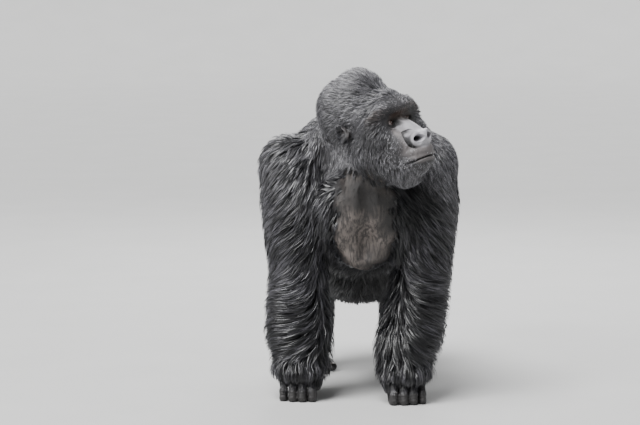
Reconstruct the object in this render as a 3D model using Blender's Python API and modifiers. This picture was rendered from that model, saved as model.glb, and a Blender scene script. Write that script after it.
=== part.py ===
"""A life-size silverback mountain gorilla, still, standing on its four limbs.

The body is built as a sculptor builds it: rounded masses and lofted limbs are
pressed together into one clay, smoothed, thinned to a light mesh, cut flat at
the floor and then parted at the joints with thin saw cuts. Every mass
includes the depth of the coat, so the outline is that of the hair's tips.

World frame: metres, +Z up, the animal faces -Y and its left side is at +X.
"""

import math

import bmesh
import bpy
import numpy as np
from mathutils import Euler, Matrix, Vector

# Driving dimensions, in metres.
SHOULDER_JOINT = Vector((0.250, -0.195, 0.830))
WITHERS_HEIGHT = 1.005
BELLY_CLEARANCE = 0.275
RUMP_REACH = 0.560
CHEST_REACH = 0.365
BODY_LEAN = 0.020  # the chest and the hips sit this far to the left of the hands' middle

# The head's own frame has its origin midway between the ears, and faces -Y.
HEAD_PLACE = Vector((0.043, -0.400, 1.014))
HEAD_TURN = Euler((math.radians(-9.6), math.radians(-8.5), math.radians(42.9)))
EYE_RADIUS = 0.0135
EYE_PLACE = Vector((0.0410, -0.1215, 0.0080))
EAR_PLACE = Vector((0.1200, 0.0180, 0.0000))

BODY_VOXEL = 0.0065
FACE_VOXEL = 0.0030
BODY_TRIANGLES = 2250
HEAD_TRIANGLES = 1280
HAND_TRIANGLES = 420
EAR_TRIANGLES = 180
SPACE_TRIANGLES = 140
FIT_GAP = 0.0005
LIMB_MARGIN = 0.018

COLOURS = {
    "black_coat": (0.020, 0.019, 0.023, 1.0),
    "silver_coat": (0.120, 0.118, 0.125, 1.0),
    "bare_skin": (0.045, 0.040, 0.042, 1.0),
    "eye": (0.060, 0.025, 0.012, 1.0),
}


def clear_scene():
    for obj in list(bpy.data.objects):
        bpy.data.objects.remove(obj)


def collection(name, hidden=False):
    made = bpy.data.collections.new(name)
    made.hide_render = hidden
    bpy.context.scene.collection.children.link(made)
    return made


def material(name):
    made = bpy.data.materials.new(name)
    made.use_nodes = True
    shader = made.node_tree.nodes["Principled BSDF"]
    shader.inputs["Base Color"].default_value = COLOURS[name]
    shader.inputs["Roughness"].default_value = 0.12 if name == "eye" else 0.6
    return made


def object_from(name, clay, home):
    mesh = bpy.data.meshes.new(name)
    clay.to_mesh(mesh)
    clay.free()
    obj = bpy.data.objects.new(name, mesh)
    home.objects.link(obj)
    return obj


def settle(obj):
    """Replaces the object's mesh by what its modifiers make of it."""
    graph = bpy.context.evaluated_depsgraph_get()
    graph.update()
    made = bpy.data.meshes.new_from_object(obj.evaluated_get(graph))
    obj.modifiers.clear()
    obj.data = made
    return obj


def turned(degrees):
    return Euler([math.radians(angle) for angle in degrees]).to_matrix().to_4x4()


# Clay: ellipsoids for muscle and fat, lofts for the limbs.


def mass(clay, centre, radii, turn=(0, 0, 0), place=None):
    """Presses an ellipsoid into the clay, turned by degrees about its own centre."""
    made = bmesh.ops.create_uvsphere(clay, u_segments=28, v_segments=16, radius=1)
    shape = Matrix.Translation(centre) @ turned(turn) @ Matrix.Diagonal((*radii, 1))
    if place is not None:
        shape = place @ shape
    bmesh.ops.transform(clay, matrix=shape, verts=made["verts"])


def between(stations, share):
    """A smooth (Catmull-Rom) reading of the stations at share 0 to 1."""
    rows = [np.array(station, float) for station in stations]
    rows = [2 * rows[0] - rows[1], *rows, 2 * rows[-1] - rows[-2]]
    where = share * (len(stations) - 1)
    first = min(int(where), len(stations) - 2)
    t = where - first
    a, b, c, d = rows[first : first + 4]
    curve = 2 * b + (c - a) * t + (2 * a - 5 * b + 4 * c - d) * t**2
    return 0.5 * (curve + (3 * b - a - 3 * c + d) * t**3)


def limb(clay, stations, fullness=2.0, rings=22, sides=28, place=None):
    """Lofts a limb through stations of x, y, z, half width and half depth.

    The width lies along X as far as the limb's own direction allows. Both ends
    are rounded off. A fullness over 2 makes the section boxier.
    """
    place = place or Matrix.Identity(4)
    across = place.to_3x3() @ Vector((1, 0, 0))
    rows = [between(stations, i / (rings - 1)) for i in range(rings)]
    centres = [place @ Vector(row[:3]) for row in rows]
    sections = []
    for i, row in enumerate(rows):
        along = centres[min(i + 1, rings - 1)] - centres[max(i - 1, 0)]
        sections.append((centres[i], along.normalized(), row[3], row[4]))
    bulges = [math.radians(angle) for angle in (80, 60, 30)]
    for end, sign in ((0, -1), (-1, 1)):
        centre, along, wide, deep = sections[end]
        reach = 0.8 * min(wide, deep)
        caps = [
            (
                centre + along * sign * reach * math.sin(angle),
                along,
                wide * math.cos(angle),
                deep * math.cos(angle),
            )
            for angle in bulges
        ]
        sections = caps + sections if end == 0 else sections + caps[::-1]
    loops = []
    for centre, along, wide, deep in sections:
        side = (across - along * across.dot(along)).normalized()
        down = along.cross(side)
        loop = []
        for k in range(sides):
            angle = 2 * math.pi * k / sides
            c, s = math.cos(angle), math.sin(angle)
            x = math.copysign(abs(c) ** (2 / fullness), c) * wide
            y = math.copysign(abs(s) ** (2 / fullness), s) * deep
            loop.append(clay.verts.new(centre + side * x + down * y))
        loops.append(loop)
    for one, two in zip(loops, loops[1:]):
        for k in range(sides):
            n = (k + 1) % sides
            clay.faces.new((one[k], one[n], two[n], two[k]))
    clay.faces.new(loops[0][::-1])
    clay.faces.new(loops[-1])


def both(side, point):
    return Vector((side * point[0], point[1], point[2]))


def add_trunk(clay):
    """Chest, belly and rump as one loft, then the muscle that lies over it."""
    lean = Matrix.Translation((BODY_LEAN, 0, 0))
    profile = [
        # y, underside, top, half width
        (-CHEST_REACH + 0.045, 0.585, 0.885, 0.120),
        (-CHEST_REACH + 0.120, 0.510, 0.955, 0.165),
        (-0.110, 0.435, WITHERS_HEIGHT - 0.040, 0.205),
        (0.040, 0.355, 0.925, 0.235),
        (0.180, BELLY_CLEARANCE, 0.880, 0.240),
        (0.310, 0.310, 0.835, 0.225),
        (0.420, 0.375, 0.790, 0.195),
        (RUMP_REACH - 0.065, 0.460, 0.720, 0.120),
    ]
    stations = [(0, y, (low + top) / 2, wide, (top - low) / 2) for y, low, top, wide in profile]
    limb(clay, stations, fullness=2.15, place=lean)
    mass(clay, (0, -0.285, 0.560), (0.135, 0.075, 0.095), place=lean)
    for side in (-1, 1):
        # Breast muscle, shoulder blade, flank and buttock.
        mass(clay, both(side, (0.080, -0.305, 0.690)), (0.100, 0.078, 0.150), place=lean)
        mass(clay, both(side, (0.130, -0.085, 0.850)), (0.145, 0.180, 0.128), place=lean)
        mass(clay, both(side, (0.155, 0.020, 0.680)), (0.100, 0.190, 0.190), place=lean)
        mass(clay, both(side, (0.085, 0.430, 0.600)), (0.115, 0.120, 0.150), place=lean)
    mass(clay, (0, -0.130, 0.890), (0.110, 0.170, WITHERS_HEIGHT - 0.890), place=lean)


def add_neck(clay):
    nape = HEAD_PLACE + Vector((-0.032, 0.075, 0.000))
    limb(
        clay,
        [
            (BODY_LEAN, -0.110, 0.860, 0.185, 0.145),
            (0.020, -0.220, 0.915, 0.165, 0.145),
            (nape.x, nape.y, nape.z, 0.114, 0.140),
        ],
    )
    for side in (-1, 1):
        # The trapezius runs from the back of the skull down to the shoulder.
        mass(
            clay,
            both(side, (0.130, -0.190, 0.922)),
            (0.150, 0.120, 0.092),
            turn=(0, side * 30, 0),
        )
    # The mane of the nape stands higher and steeper on the side the head turns to.
    mass(clay, (-0.120, -0.125, 0.960), (0.125, 0.160, 0.075), turn=(-12, -30, 0))
    mass(clay, (0.176, -0.112, 0.960), (0.100, 0.155, 0.083), turn=(-14, 50, 0))
    mass(clay, (0.050, -0.035, 0.920), (0.215, 0.200, 0.104), turn=(-8, 0, 0))
    # Throat and collar fur between the beard and the breast.
    mass(clay, (0.035, -0.300, 0.865), (0.125, 0.095, 0.110), turn=(25, 0, 0))


ARM_LEFT = [
    (0.246, -0.205, 0.840, 0.118, 0.130),
    (0.248, -0.205, 0.730, 0.128, 0.135),
    (0.240, -0.210, 0.600, 0.124, 0.128),
    (0.232, -0.215, 0.470, 0.118, 0.120),
    (0.216, -0.240, 0.370, 0.126, 0.120),
    (0.194, -0.275, 0.270, 0.130, 0.116),
    (0.169, -0.312, 0.185, 0.125, 0.104),
    (0.167, -0.335, 0.120, 0.099, 0.084),
]
ARM_RIGHT = [
    (0.238, -0.205, 0.840, 0.118, 0.130),
    (0.236, -0.205, 0.730, 0.130, 0.138),
    (0.228, -0.210, 0.600, 0.124, 0.130),
    (0.222, -0.205, 0.470, 0.116, 0.120),
    (0.220, -0.212, 0.370, 0.126, 0.120),
    (0.220, -0.228, 0.270, 0.130, 0.116),
    (0.213, -0.248, 0.185, 0.125, 0.104),
    (0.220, -0.262, 0.120, 0.102, 0.084),
]


def add_arm(clay, side):
    stations = ARM_LEFT if side > 0 else ARM_RIGHT
    limb(clay, [(side * x, y, z, w, d) for x, y, z, w, d in stations])
    # The deltoid caps the shoulder, and the elbow carries a fringe behind.
    mass(clay, both(side, SHOULDER_JOINT), (0.122, 0.135, 0.150), turn=(0, side * 12, 0))
    elbow = stations[3]
    mass(clay, (side * elbow[0], elbow[1] + 0.035, 0.455), (0.090, 0.105, 0.095))


FINGER_THICKNESS = 0.0158
KNUCKLE_PITCH = 0.0355


def add_hand(clay, side):
    """A fist on its knuckles: the middle joints of the four fingers bear on the floor."""
    wrist = (ARM_LEFT if side > 0 else ARM_RIGHT)[-1]
    place = Matrix.Translation((side * wrist[0], wrist[1], 0))
    place = place @ turned((0, 0, side * 8))
    mass(clay, (0, 0.000, 0.105), (0.074, 0.046, 0.060), place=place)
    mass(clay, (0, -0.012, 0.075), (0.070, 0.034, 0.034), place=place)
    for finger in range(4):
        x = side * (finger - 1.5) * KNUCKLE_PITCH
        reach = (0.000, 0.008, 0.006, -0.004)[finger]
        thick = FINGER_THICKNESS - 0.0015 * (finger == 3)
        limb(
            clay,
            [
                (x, -0.004, 0.085, thick, thick),
                (x, -0.040 - reach, 0.050, thick, thick),
                (x, -0.050 - reach, thick - 0.003, thick, thick),
                (x, -0.015 - reach, thick - 0.004, thick, 0.9 * thick),
                (x, 0.012, 0.036, 0.85 * thick, 0.8 * thick),
            ],
            rings=16,
            sides=16,
            place=place,
        )
    thumb = -side * 0.066
    limb(
        clay,
        [
            (0.75 * thumb, 0.006, 0.120, 0.020, 0.020),
            (1.05 * thumb, -0.006, 0.078, 0.017, 0.017),
            (1.02 * thumb, -0.016, 0.046, 0.014, 0.014),
        ],
        rings=10,
        sides=14,
        place=place,
    )


HIP_SPREAD = 0.140
FOOT_SPREAD = 0.150
LEG_STAGGER = {-1: 0.035, 1: -0.035}  # the right foot stands further back


def ankle_place(side):
    return Vector((BODY_LEAN + side * FOOT_SPREAD, 0.385 + LEG_STAGGER[side], 0.0))


def add_leg(clay, side):
    ankle = ankle_place(side)
    shift = LEG_STAGGER[side]
    hip = BODY_LEAN + side * HIP_SPREAD
    limb(
        clay,
        [
            (hip - side * 0.010, 0.390, 0.620, 0.120, 0.160),
            (hip + side * 0.015, 0.340 + 0.4 * shift, 0.500, 0.120, 0.155),
            (hip + side * 0.030, 0.255 + 0.8 * shift, 0.375, 0.105, 0.120),
            (hip + side * 0.030, 0.265 + shift, 0.290, 0.092, 0.100),
            (ankle.x + side * 0.012, 0.320 + shift, 0.200, 0.084, 0.094),
            (ankle.x + side * 0.004, 0.370 + shift, 0.115, 0.068, 0.074),
            (ankle.x, ankle.y + 0.008, 0.065, 0.048, 0.056),
        ],
    )


def add_foot(clay, side):
    """A flat foot with the great toe set apart on its inner side."""
    place = Matrix.Translation(ankle_place(side)) @ turned((0, 0, side * 10))
    limb(
        clay,
        [
            (0, 0.068, 0.030, 0.036, 0.036),
            (0, 0.020, 0.036, 0.042, 0.044),
            (0, -0.050, 0.034, 0.052, 0.038),
            (side * 0.008, -0.110, 0.024, 0.056, 0.028),
        ],
        rings=16,
        sides=20,
        place=place,
    )
    for toe in range(4):
        x = side * (0.047 - 0.0235 * toe)
        length = (0.040, 0.050, 0.055, 0.052)[toe]
        limb(
            clay,
            [
                (0.9 * x, -0.120, 0.020, 0.0135, 0.0150),
                (x, -0.130 - 0.5 * length, 0.019, 0.0135, 0.0150),
                (1.02 * x, -0.130 - length, 0.012, 0.0125, 0.0120),
            ],
            rings=8,
            sides=14,
            place=place,
        )
    limb(
        clay,
        [
            (-side * 0.020, -0.035, 0.026, 0.026, 0.026),
            (-side * 0.056, -0.085, 0.022, 0.022, 0.022),
            (-side * 0.078, -0.130, 0.017, 0.0195, 0.0175),
        ],
        rings=10,
        sides=16,
        place=place,
    )


# The head, in its own frame.


def head_frame():
    return Matrix.Translation(HEAD_PLACE) @ HEAD_TURN.to_matrix().to_4x4()


def add_skull(clay):
    """The broad masses of the head under their hair."""
    place = head_frame()

    def lump(centre, radii, turn=(0, 0, 0)):
        mass(clay, centre, radii, turn, place)

    # Skull, the tall crest of muscle and fat, and the thick nape behind it.
    lump((0, 0.020, 0.050), (0.112, 0.140, 0.105))
    lump((0, 0.038, 0.104), (0.088, 0.120, 0.113), turn=(8, 0, 0))
    lump((0, -0.035, 0.060), (0.088, 0.118, 0.075), turn=(-12, 0, 0))
    lump((0, 0.112, 0.068), (0.122, 0.114, 0.128))
    # Muzzle, chin and throat.
    lump((0, -0.122, -0.085), (0.080, 0.096, 0.080))
    lump((0, -0.142, -0.128), (0.076, 0.090, 0.058))
    lump((0, -0.115, -0.190), (0.072, 0.080, 0.050))
    lump((0, -0.030, -0.135), (0.092, 0.110, 0.080))
    for side in (-1, 1):
        # Brow, temple, cheekbone, jaw hair, cheek and the side of the skull.
        lump((side * 0.050, -0.120, 0.062), (0.062, 0.044, 0.032), turn=(0, side * 8, side * 14))
        lump((side * 0.098, -0.080, 0.012), (0.044, 0.068, 0.058))
        lump((side * 0.086, -0.098, -0.032), (0.050, 0.062, 0.050))
        lump((side * 0.082, -0.020, -0.072), (0.052, 0.100, 0.092))
        lump((side * 0.062, -0.088, -0.115), (0.052, 0.074, 0.068))
        lump((side * 0.088, 0.040, 0.050), (0.034, 0.090, 0.080))
        lump((side * 0.042, -0.114, 0.010), (0.042, 0.034, 0.038))


def add_features(clay):
    """Brow edge, nose, lips and eyelids, laid over the softened head."""
    place = head_frame()

    def lump(centre, radii, turn=(0, 0, 0)):
        mass(clay, centre, radii, turn, place)

    limb(
        clay,
        [
            (0, -0.128, 0.054, 0.026, 0.026),
            (0, -0.136, 0.014, 0.024, 0.022),
            (0, -0.166, -0.022, 0.030, 0.028),
            (0, -0.190, -0.050, 0.038, 0.030),
        ],
        rings=12,
        sides=18,
        place=place,
    )
    lump((0, -0.202, -0.065), (0.030, 0.030, 0.029))
    lump((0, -0.166, -0.112), (0.060, 0.064, 0.029), turn=(-6, 0, 0))
    lump((0, -0.160, -0.137), (0.062, 0.065, 0.026))
    lump((0, -0.160, -0.157), (0.052, 0.063, 0.022))
    lump((0, -0.138, 0.054), (0.032, 0.028, 0.018))
    for side in (-1, 1):
        lump((side * 0.048, -0.136, 0.052), (0.052, 0.030, 0.016), turn=(0, side * 6, side * 16))
        lump((side * 0.029, -0.195, -0.065), (0.027, 0.030, 0.030), turn=(0, side * 8, 0))
        lump((side * 0.042, -0.124, 0.036), (0.036, 0.022, 0.016), turn=(0, side * 6, side * 10))
        eye = both(side, EYE_PLACE)
        lump(eye, (EYE_RADIUS + 0.0050, EYE_RADIUS + 0.0026, EYE_RADIUS + 0.0040))


def press(obj, centre, radii, push, place):
    """Moves the surface near a spot by push, fading out over the radii."""
    mesh = obj.data
    points = np.empty(len(mesh.vertices) * 3)
    mesh.vertices.foreach_get("co", points)
    points = points.reshape(-1, 3)
    back = np.array(place.inverted())
    local = points @ back[:3, :3].T + back[:3, 3]
    distance = (((local - np.array(centre)) / np.array(radii)) ** 2).sum(axis=1)
    fade = np.clip(1 - distance, 0, 1) ** 2
    points += fade[:, None] * np.array(place.to_3x3() @ Vector(push))
    mesh.vertices.foreach_set("co", points.ravel())
    mesh.update()


MOUTH_HALF_WIDTH = 0.064


def carve_face(obj):
    """Nostrils, the fold round each wing of the nose, and the line of the mouth."""
    place = head_frame()
    for side in (-1, 1):
        press(obj, (side * 0.024, -0.225, -0.069), (0.013, 0.026, 0.009), (0, 0.020, 0.004), place)
        for step in range(9):
            angle = math.radians(-75 + 150 * step / 8)
            x = side * (0.030 + 0.027 * math.cos(angle))
            z = -0.065 - 0.035 * math.sin(angle)
            press(obj, (x, -0.190, z), (0.009, 0.040, 0.009), (0, 0.0035, 0), place)
    for step in range(31):
        angle = math.radians(-80 + 160 * step / 30)
        x = MOUTH_HALF_WIDTH * math.sin(angle)
        y = -0.156 - 0.066 * math.cos(angle)
        z = -0.148 + 0.010 * math.cos(angle)
        push = (0, 0.0022 * math.cos(angle), 0.0008)
        press(obj, (x, y, z), (0.010, 0.034, 0.006), push, place)


def carve_chest(obj):
    """The furrow between the breasts, from the breastbone to the belly."""
    lean = Matrix.Translation((BODY_LEAN, 0, 0))
    for height in (0.600, 0.645, 0.690, 0.730):
        press(obj, (0, -0.375, height), (0.040, 0.080, 0.055), (0, 0.016, 0), lean)


def weigh(group, weights):
    """Writes weights from 0 to 1 into a vertex group, in steps of a tenth."""
    for level in range(1, 11):
        chosen = np.nonzero(np.round(weights * 10) == level)[0]
        group.add(chosen.tolist(), level / 10, "REPLACE")


def soften(obj, rounds, strength):
    """Smooths the clay, with a strength from 0 to 1 at each point."""
    group = obj.vertex_groups.new(name="soften")
    weigh(group, strength)
    smooth = obj.modifiers.new("soften", "SMOOTH")
    smooth.factor = 0.5
    smooth.iterations = rounds
    smooth.vertex_group = group.name
    return settle(obj)


def surface_points(obj):
    points = np.empty(len(obj.data.vertices) * 3)
    obj.data.vertices.foreach_get("co", points)
    return points.reshape(-1, 3)


def nearness(points, centre, radius):
    """1 at the centre, falling to 0 at twice the radius."""
    distance = np.linalg.norm(points - np.array(centre), axis=1)
    return np.clip(2 - distance / radius, 0, 1)


def shape_clay(clay, name, voxel, rounds, home):
    """Joins the clay into one skin and softens it."""
    body = object_from(name, clay, home)
    remesh = body.modifiers.new("join", "REMESH")
    remesh.mode = "VOXEL"
    remesh.voxel_size = voxel
    settle(body)
    return soften(body, rounds, np.ones(len(body.data.vertices)))


def thin_out(obj, triangles, fineness):
    """Thins the mesh to a number of triangles, keeping more where the shape is fine."""
    keep = obj.vertex_groups.new(name="thin")
    weigh(keep, 1 - 0.9 * fineness)
    thin = obj.modifiers.new("thin", "DECIMATE")
    faces = sum(len(face.vertices) - 2 for face in obj.data.polygons)
    thin.ratio = triangles / faces
    thin.vertex_group = keep.name
    thin.vertex_group_factor = 1.2
    return settle(obj)


def half(obj, point, normal):
    """Keeps what lies on the side that the normal points to, and closes it flat."""
    shape = bmesh.new()
    shape.from_mesh(obj.data)
    everything = shape.verts[:] + shape.edges[:] + shape.faces[:]
    cut = bmesh.ops.bisect_plane(
        shape, geom=everything, plane_co=point, plane_no=-normal, clear_outer=True
    )
    rims = [edge for edge in cut["geom_cut"] if isinstance(edge, bmesh.types.BMEdge)]
    bmesh.ops.edgenet_fill(shape, edges=rims)
    bmesh.ops.triangulate(shape, faces=shape.faces[:])
    bmesh.ops.recalc_face_normals(shape, faces=shape.faces[:])
    shape.to_mesh(obj.data)
    shape.free()
    return obj


def copy_of(obj, name):
    made = obj.copy()
    made.data = obj.data.copy()
    made.name = name
    obj.users_collection[0].objects.link(made)
    return made


def part_across(obj, point, normal, name):
    """Parts the object with a thin flat cut. The half on the normal's side gets the name."""
    normal = normal.normalized()
    taken = half(copy_of(obj, name), point + normal * FIT_GAP / 2, normal)
    half(obj, point - normal * FIT_GAP / 2, -normal)
    return taken


NECK_TOP = (Vector((0.030, -0.300, 0.945)), Vector((0.05, -0.70, 0.71)))
NECK_BASE = (Vector((0.025, -0.200, 0.930)), Vector((0.03, -0.62, 0.78)))


def whole_body(home):
    clay = bmesh.new()
    add_trunk(clay)
    add_neck(clay)
    for side in (-1, 1):
        add_arm(clay, side)
        add_leg(clay, side)
    add_skull(clay)
    body = shape_clay(clay, "trunk", BODY_VOXEL, 60, home)
    carve_chest(body)
    soften(body, 4, np.full(len(body.data.vertices), 0.6))
    half(body, NECK_TOP[0], -NECK_TOP[1])
    return thin_out(body, BODY_TRIANGLES, np.zeros(len(body.data.vertices)))


def whole_head(home):
    """The head from the same clay as the neck, finer, and cut off where the neck begins."""
    clay = bmesh.new()
    add_trunk(clay)
    add_neck(clay)
    add_skull(clay)
    head = shape_clay(clay, "skull", BODY_VOXEL, 60, home)
    half(head, NECK_TOP[0] + NECK_TOP[1] * FIT_GAP, NECK_TOP[1])
    detailed = bmesh.new()
    detailed.from_mesh(head.data)
    bpy.data.objects.remove(head)
    add_features(detailed)
    head = shape_clay(detailed, "head", FACE_VOXEL, 7, home)
    carve_face(head)
    soften(head, 2, np.full(len(head.data.vertices), 0.5))
    face = nearness(surface_points(head), head_frame() @ Vector((0, -0.150, -0.050)), 0.085)
    return thin_out(head, HEAD_TRIANGLES, face)


def as_cutter(obj):
    obj.hide_render = True
    obj.display_type = "WIRE"
    return obj


def cut_with(obj, cutter, operation="DIFFERENCE"):
    boolean = obj.modifiers.new(cutter.name, "BOOLEAN")
    boolean.operation = operation
    boolean.object = cutter
    boolean.solver = "EXACT"
    settle(obj)
    shape = bmesh.new()
    shape.from_mesh(obj.data)
    bmesh.ops.triangulate(shape, faces=shape.faces[:])
    shape.to_mesh(obj.data)
    shape.free()
    return obj


def grown(obj, amount, name, home):
    """A cutter of the object's own shape, larger all round by the amount."""
    shape = bmesh.new()
    shape.from_mesh(obj.data)
    bmesh.ops.transform(shape, matrix=obj.matrix_world, verts=shape.verts)
    bmesh.ops.recalc_face_normals(shape, faces=shape.faces[:])
    shape.normal_update()
    for vert in shape.verts:
        vert.co += vert.normal * amount * vert.calc_shell_factor()
    return as_cutter(object_from(name, shape, home))


def limb_space(side, word, kind, home):
    """The space round a whole limb, by which it is parted from the trunk."""
    clay = bmesh.new()
    (add_arm if kind == "arm" else add_leg)(clay, side)
    space = shape_clay(clay, kind + "_space_" + word, 0.012, 6, home)
    thin_out(space, SPACE_TRIANGLES, np.zeros(len(space.data.vertices)))
    shape = bmesh.new()
    shape.from_mesh(space.data)
    shape.normal_update()
    for vert in shape.verts:
        # It leans outward where it lies in the trunk, so it leaves the skin steeply.
        lean = side * LIMB_MARGIN * min(max((vert.co.z - 0.42) / 0.15, 0), 1)
        vert.co += vert.normal * LIMB_MARGIN + Vector((lean, 0, 0))
    shape.to_mesh(space.data)
    shape.free()
    return as_cutter(space)


def part_limb(trunk, side, word, kind, home):
    space = limb_space(side, word, kind, home)
    taken = copy_of(trunk, kind)
    cut_with(taken, space, "INTERSECT")
    cut_with(trunk, grown(space, FIT_GAP, kind + "_socket_" + word, home))
    return taken


def wrist_cut(side):
    return Vector((0, (ARM_LEFT if side > 0 else ARM_RIGHT)[-1][1], 0.150)), Vector((0, 0.25, 1))


def ankle_cut(side):
    return ankle_place(side) + Vector((0, 0, 0.092)), Vector((0, 0.25, 1))


def part_body(trunk, cutters):
    """Parts the trunk into the named pieces, in place."""
    for side, word in ((-1, "right"), (1, "left")):
        arm = part_limb(trunk, side, word, "arm", cutters)
        part_across(arm, Vector((0, 0, 0.460)), Vector((0, -0.12, 1)), "upper_arm_" + word)
        half(arm, *wrist_cut(side))
        arm.name = "forearm_" + word
        leg = part_limb(trunk, side, word, "leg", cutters)
        knee = Vector((0, 0.262 + LEG_STAGGER[side], 0.335))
        part_across(leg, knee, Vector((0, 0.10, 1)), "thigh_" + word)
        half(leg, *ankle_cut(side))
        leg.name = "lower_leg_" + word
    part_across(trunk, *NECK_BASE, "neck")


def drop_crumbs(obj):
    """Removes the small loose crumbs that a cut leaves beside the main body."""
    shape = bmesh.new()
    shape.from_mesh(obj.data)
    waiting = set(shape.verts)
    bodies = []
    while waiting:
        body = [waiting.pop()]
        for vert in body:
            for edge in vert.link_edges:
                other = edge.other_vert(vert)
                if other in waiting:
                    waiting.discard(other)
                    body.append(other)
        bodies.append(body)
    bodies.sort(key=len)
    for crumb in bodies[:-1]:
        bmesh.ops.delete(shape, geom=crumb, context="VERTS")
    shape.to_mesh(obj.data)
    shape.free()


def make_hand_or_foot(kind, side, word, home):
    """The fine end of a limb, cut off at the wrist or the ankle and flat at the floor."""
    clay = bmesh.new()
    if kind == "hand":
        add_arm(clay, side)
        add_hand(clay, side)
    else:
        add_leg(clay, side)
        add_foot(clay, side)
    place, up = wrist_cut(side) if kind == "hand" else ankle_cut(side)
    below = bmesh.ops.bisect_plane(
        clay,
        geom=clay.verts[:] + clay.edges[:] + clay.faces[:],
        plane_co=place + up * 0.06,
        plane_no=up,
        clear_outer=True,
    )
    rims = [edge for edge in below["geom_cut"] if isinstance(edge, bmesh.types.BMEdge)]
    bmesh.ops.edgenet_fill(clay, edges=rims)
    end = shape_clay(clay, kind + "_" + word, FACE_VOXEL, 9, home)
    half(end, place - up.normalized() * FIT_GAP, -up)
    half(end, Vector((0, 0, 0)), Vector((0, 0, 1)))
    return thin_out(end, HAND_TRIANGLES, np.zeros(len(end.data.vertices)))


def make_eye(side, home):
    ball = bmesh.new()
    bmesh.ops.create_uvsphere(ball, u_segments=12, v_segments=8, radius=EYE_RADIUS)
    eye = object_from("eye_left" if side > 0 else "eye_right", ball, home)
    eye.matrix_world = Matrix.Translation(head_frame() @ both(side, EYE_PLACE))
    return eye


def eye_slit(side, home):
    """The almond opening between the lids."""
    lids = bmesh.new()
    place = head_frame() @ Matrix.Translation(both(side, EYE_PLACE))
    place = place @ turned((0, side * 8, side * 12))
    bmesh.ops.create_uvsphere(lids, u_segments=12, v_segments=8, radius=1)
    shape = Matrix.Translation((0, -0.010, 0)) @ Matrix.Diagonal((0.0134, 0.018, 0.0066, 1))
    bmesh.ops.transform(lids, matrix=place @ shape, verts=lids.verts)
    return as_cutter(object_from("eye_slit", lids, home))


def make_ear(side, home):
    """A small cupped ear: a rolled rim round a thin bowl, with a lobe below."""
    clay = bmesh.new()
    place = head_frame() @ Matrix.Translation(both(side, EAR_PLACE))
    place = place @ turned((-8, 0, side * 28))
    rim = []
    for step in range(9):
        angle = math.radians(-60 + 300 * step / 8)
        rim.append((side * 0.013, 0.013 * math.cos(angle), 0.022 * math.sin(angle), 0.0042, 0.0042))
    limb(clay, rim, rings=30, sides=10, place=place)
    mass(clay, (side * 0.006, 0.001, 0.000), (0.0060, 0.0135, 0.0225), place=place)
    mass(clay, (side * 0.010, -0.006, -0.021), (0.0055, 0.0065, 0.0080), place=place)
    mass(clay, (side * -0.002, 0.000, 0.000), (0.0120, 0.0110, 0.0180), place=place)
    ear = shape_clay(clay, "ear_left" if side > 0 else "ear_right", 0.0016, 3, home)
    return thin_out(ear, EAR_TRIANGLES, np.zeros(len(ear.data.vertices)))


def part_material(name):
    if name.startswith("eye"):
        return "eye"
    if name.startswith(("ear", "hand", "foot")):
        return "bare_skin"
    return "silver_coat" if name == "trunk" else "black_coat"


def centre_on_origin(objects):
    """Puts the origin on the floor under the middle of the whole animal."""
    bpy.context.view_layer.update()
    corners = [obj.matrix_world @ Vector(corner) for obj in objects for corner in obj.bound_box]
    low = Vector([min(corner[axis] for corner in corners) for axis in range(3)])
    high = Vector([max(corner[axis] for corner in corners) for axis in range(3)])
    shift = Matrix.Translation((-(low.x + high.x) / 2, -(low.y + high.y) / 2, -low.z))
    for obj in objects:
        obj.data.transform(shift @ obj.matrix_world)
        obj.matrix_world = Matrix.Identity(4)


def build():
    clear_scene()
    gorilla = collection("gorilla")
    cutters = collection("cutters", hidden=True)
    part_body(whole_body(gorilla), cutters)
    for side, word in ((-1, "right"), (1, "left")):
        make_hand_or_foot("hand", side, word, gorilla)
        make_hand_or_foot("foot", side, word, gorilla)
    head = whole_head(gorilla)
    for side in (-1, 1):
        eye = make_eye(side, gorilla)
        ear = make_ear(side, gorilla)
        bpy.context.view_layer.update()
        cut_with(head, eye_slit(side, cutters))
        cut_with(head, grown(eye, FIT_GAP, eye.name + "_socket", cutters))
        cut_with(head, grown(ear, FIT_GAP, ear.name + "_socket", cutters))
    for obj in gorilla.objects:
        drop_crumbs(obj)
    centre_on_origin(gorilla.objects[:])
    finishes = {name: material(name) for name in COLOURS}
    for obj in gorilla.objects:
        obj.data.materials.clear()
        obj.data.materials.append(finishes[part_material(obj.name)])
        obj.data.shade_smooth()


build()
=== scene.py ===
import math
import random

import bmesh
import bpy
import numpy as np
from mathutils import Euler, Matrix, Vector
from mathutils.kdtree import KDTree


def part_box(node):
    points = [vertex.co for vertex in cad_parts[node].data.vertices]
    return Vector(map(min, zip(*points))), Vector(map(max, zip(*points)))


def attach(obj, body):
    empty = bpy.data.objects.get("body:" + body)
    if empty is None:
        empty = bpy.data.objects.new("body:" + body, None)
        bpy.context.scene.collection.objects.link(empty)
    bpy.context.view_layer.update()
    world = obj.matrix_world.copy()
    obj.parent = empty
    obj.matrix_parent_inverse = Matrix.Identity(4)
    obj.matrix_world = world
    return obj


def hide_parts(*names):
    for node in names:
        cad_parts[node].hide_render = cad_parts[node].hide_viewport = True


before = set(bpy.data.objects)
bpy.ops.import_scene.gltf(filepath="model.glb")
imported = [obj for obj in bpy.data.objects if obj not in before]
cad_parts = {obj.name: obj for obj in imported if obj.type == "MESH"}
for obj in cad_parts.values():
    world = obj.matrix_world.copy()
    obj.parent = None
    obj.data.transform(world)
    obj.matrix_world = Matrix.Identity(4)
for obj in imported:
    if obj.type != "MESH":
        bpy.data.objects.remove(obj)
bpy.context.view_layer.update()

HEAD_PLACE = Vector((0.043, -0.400, 1.014))
HEAD_TURN = Euler((math.radians(-9.6), math.radians(-8.5), math.radians(42.9))).to_matrix()
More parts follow.
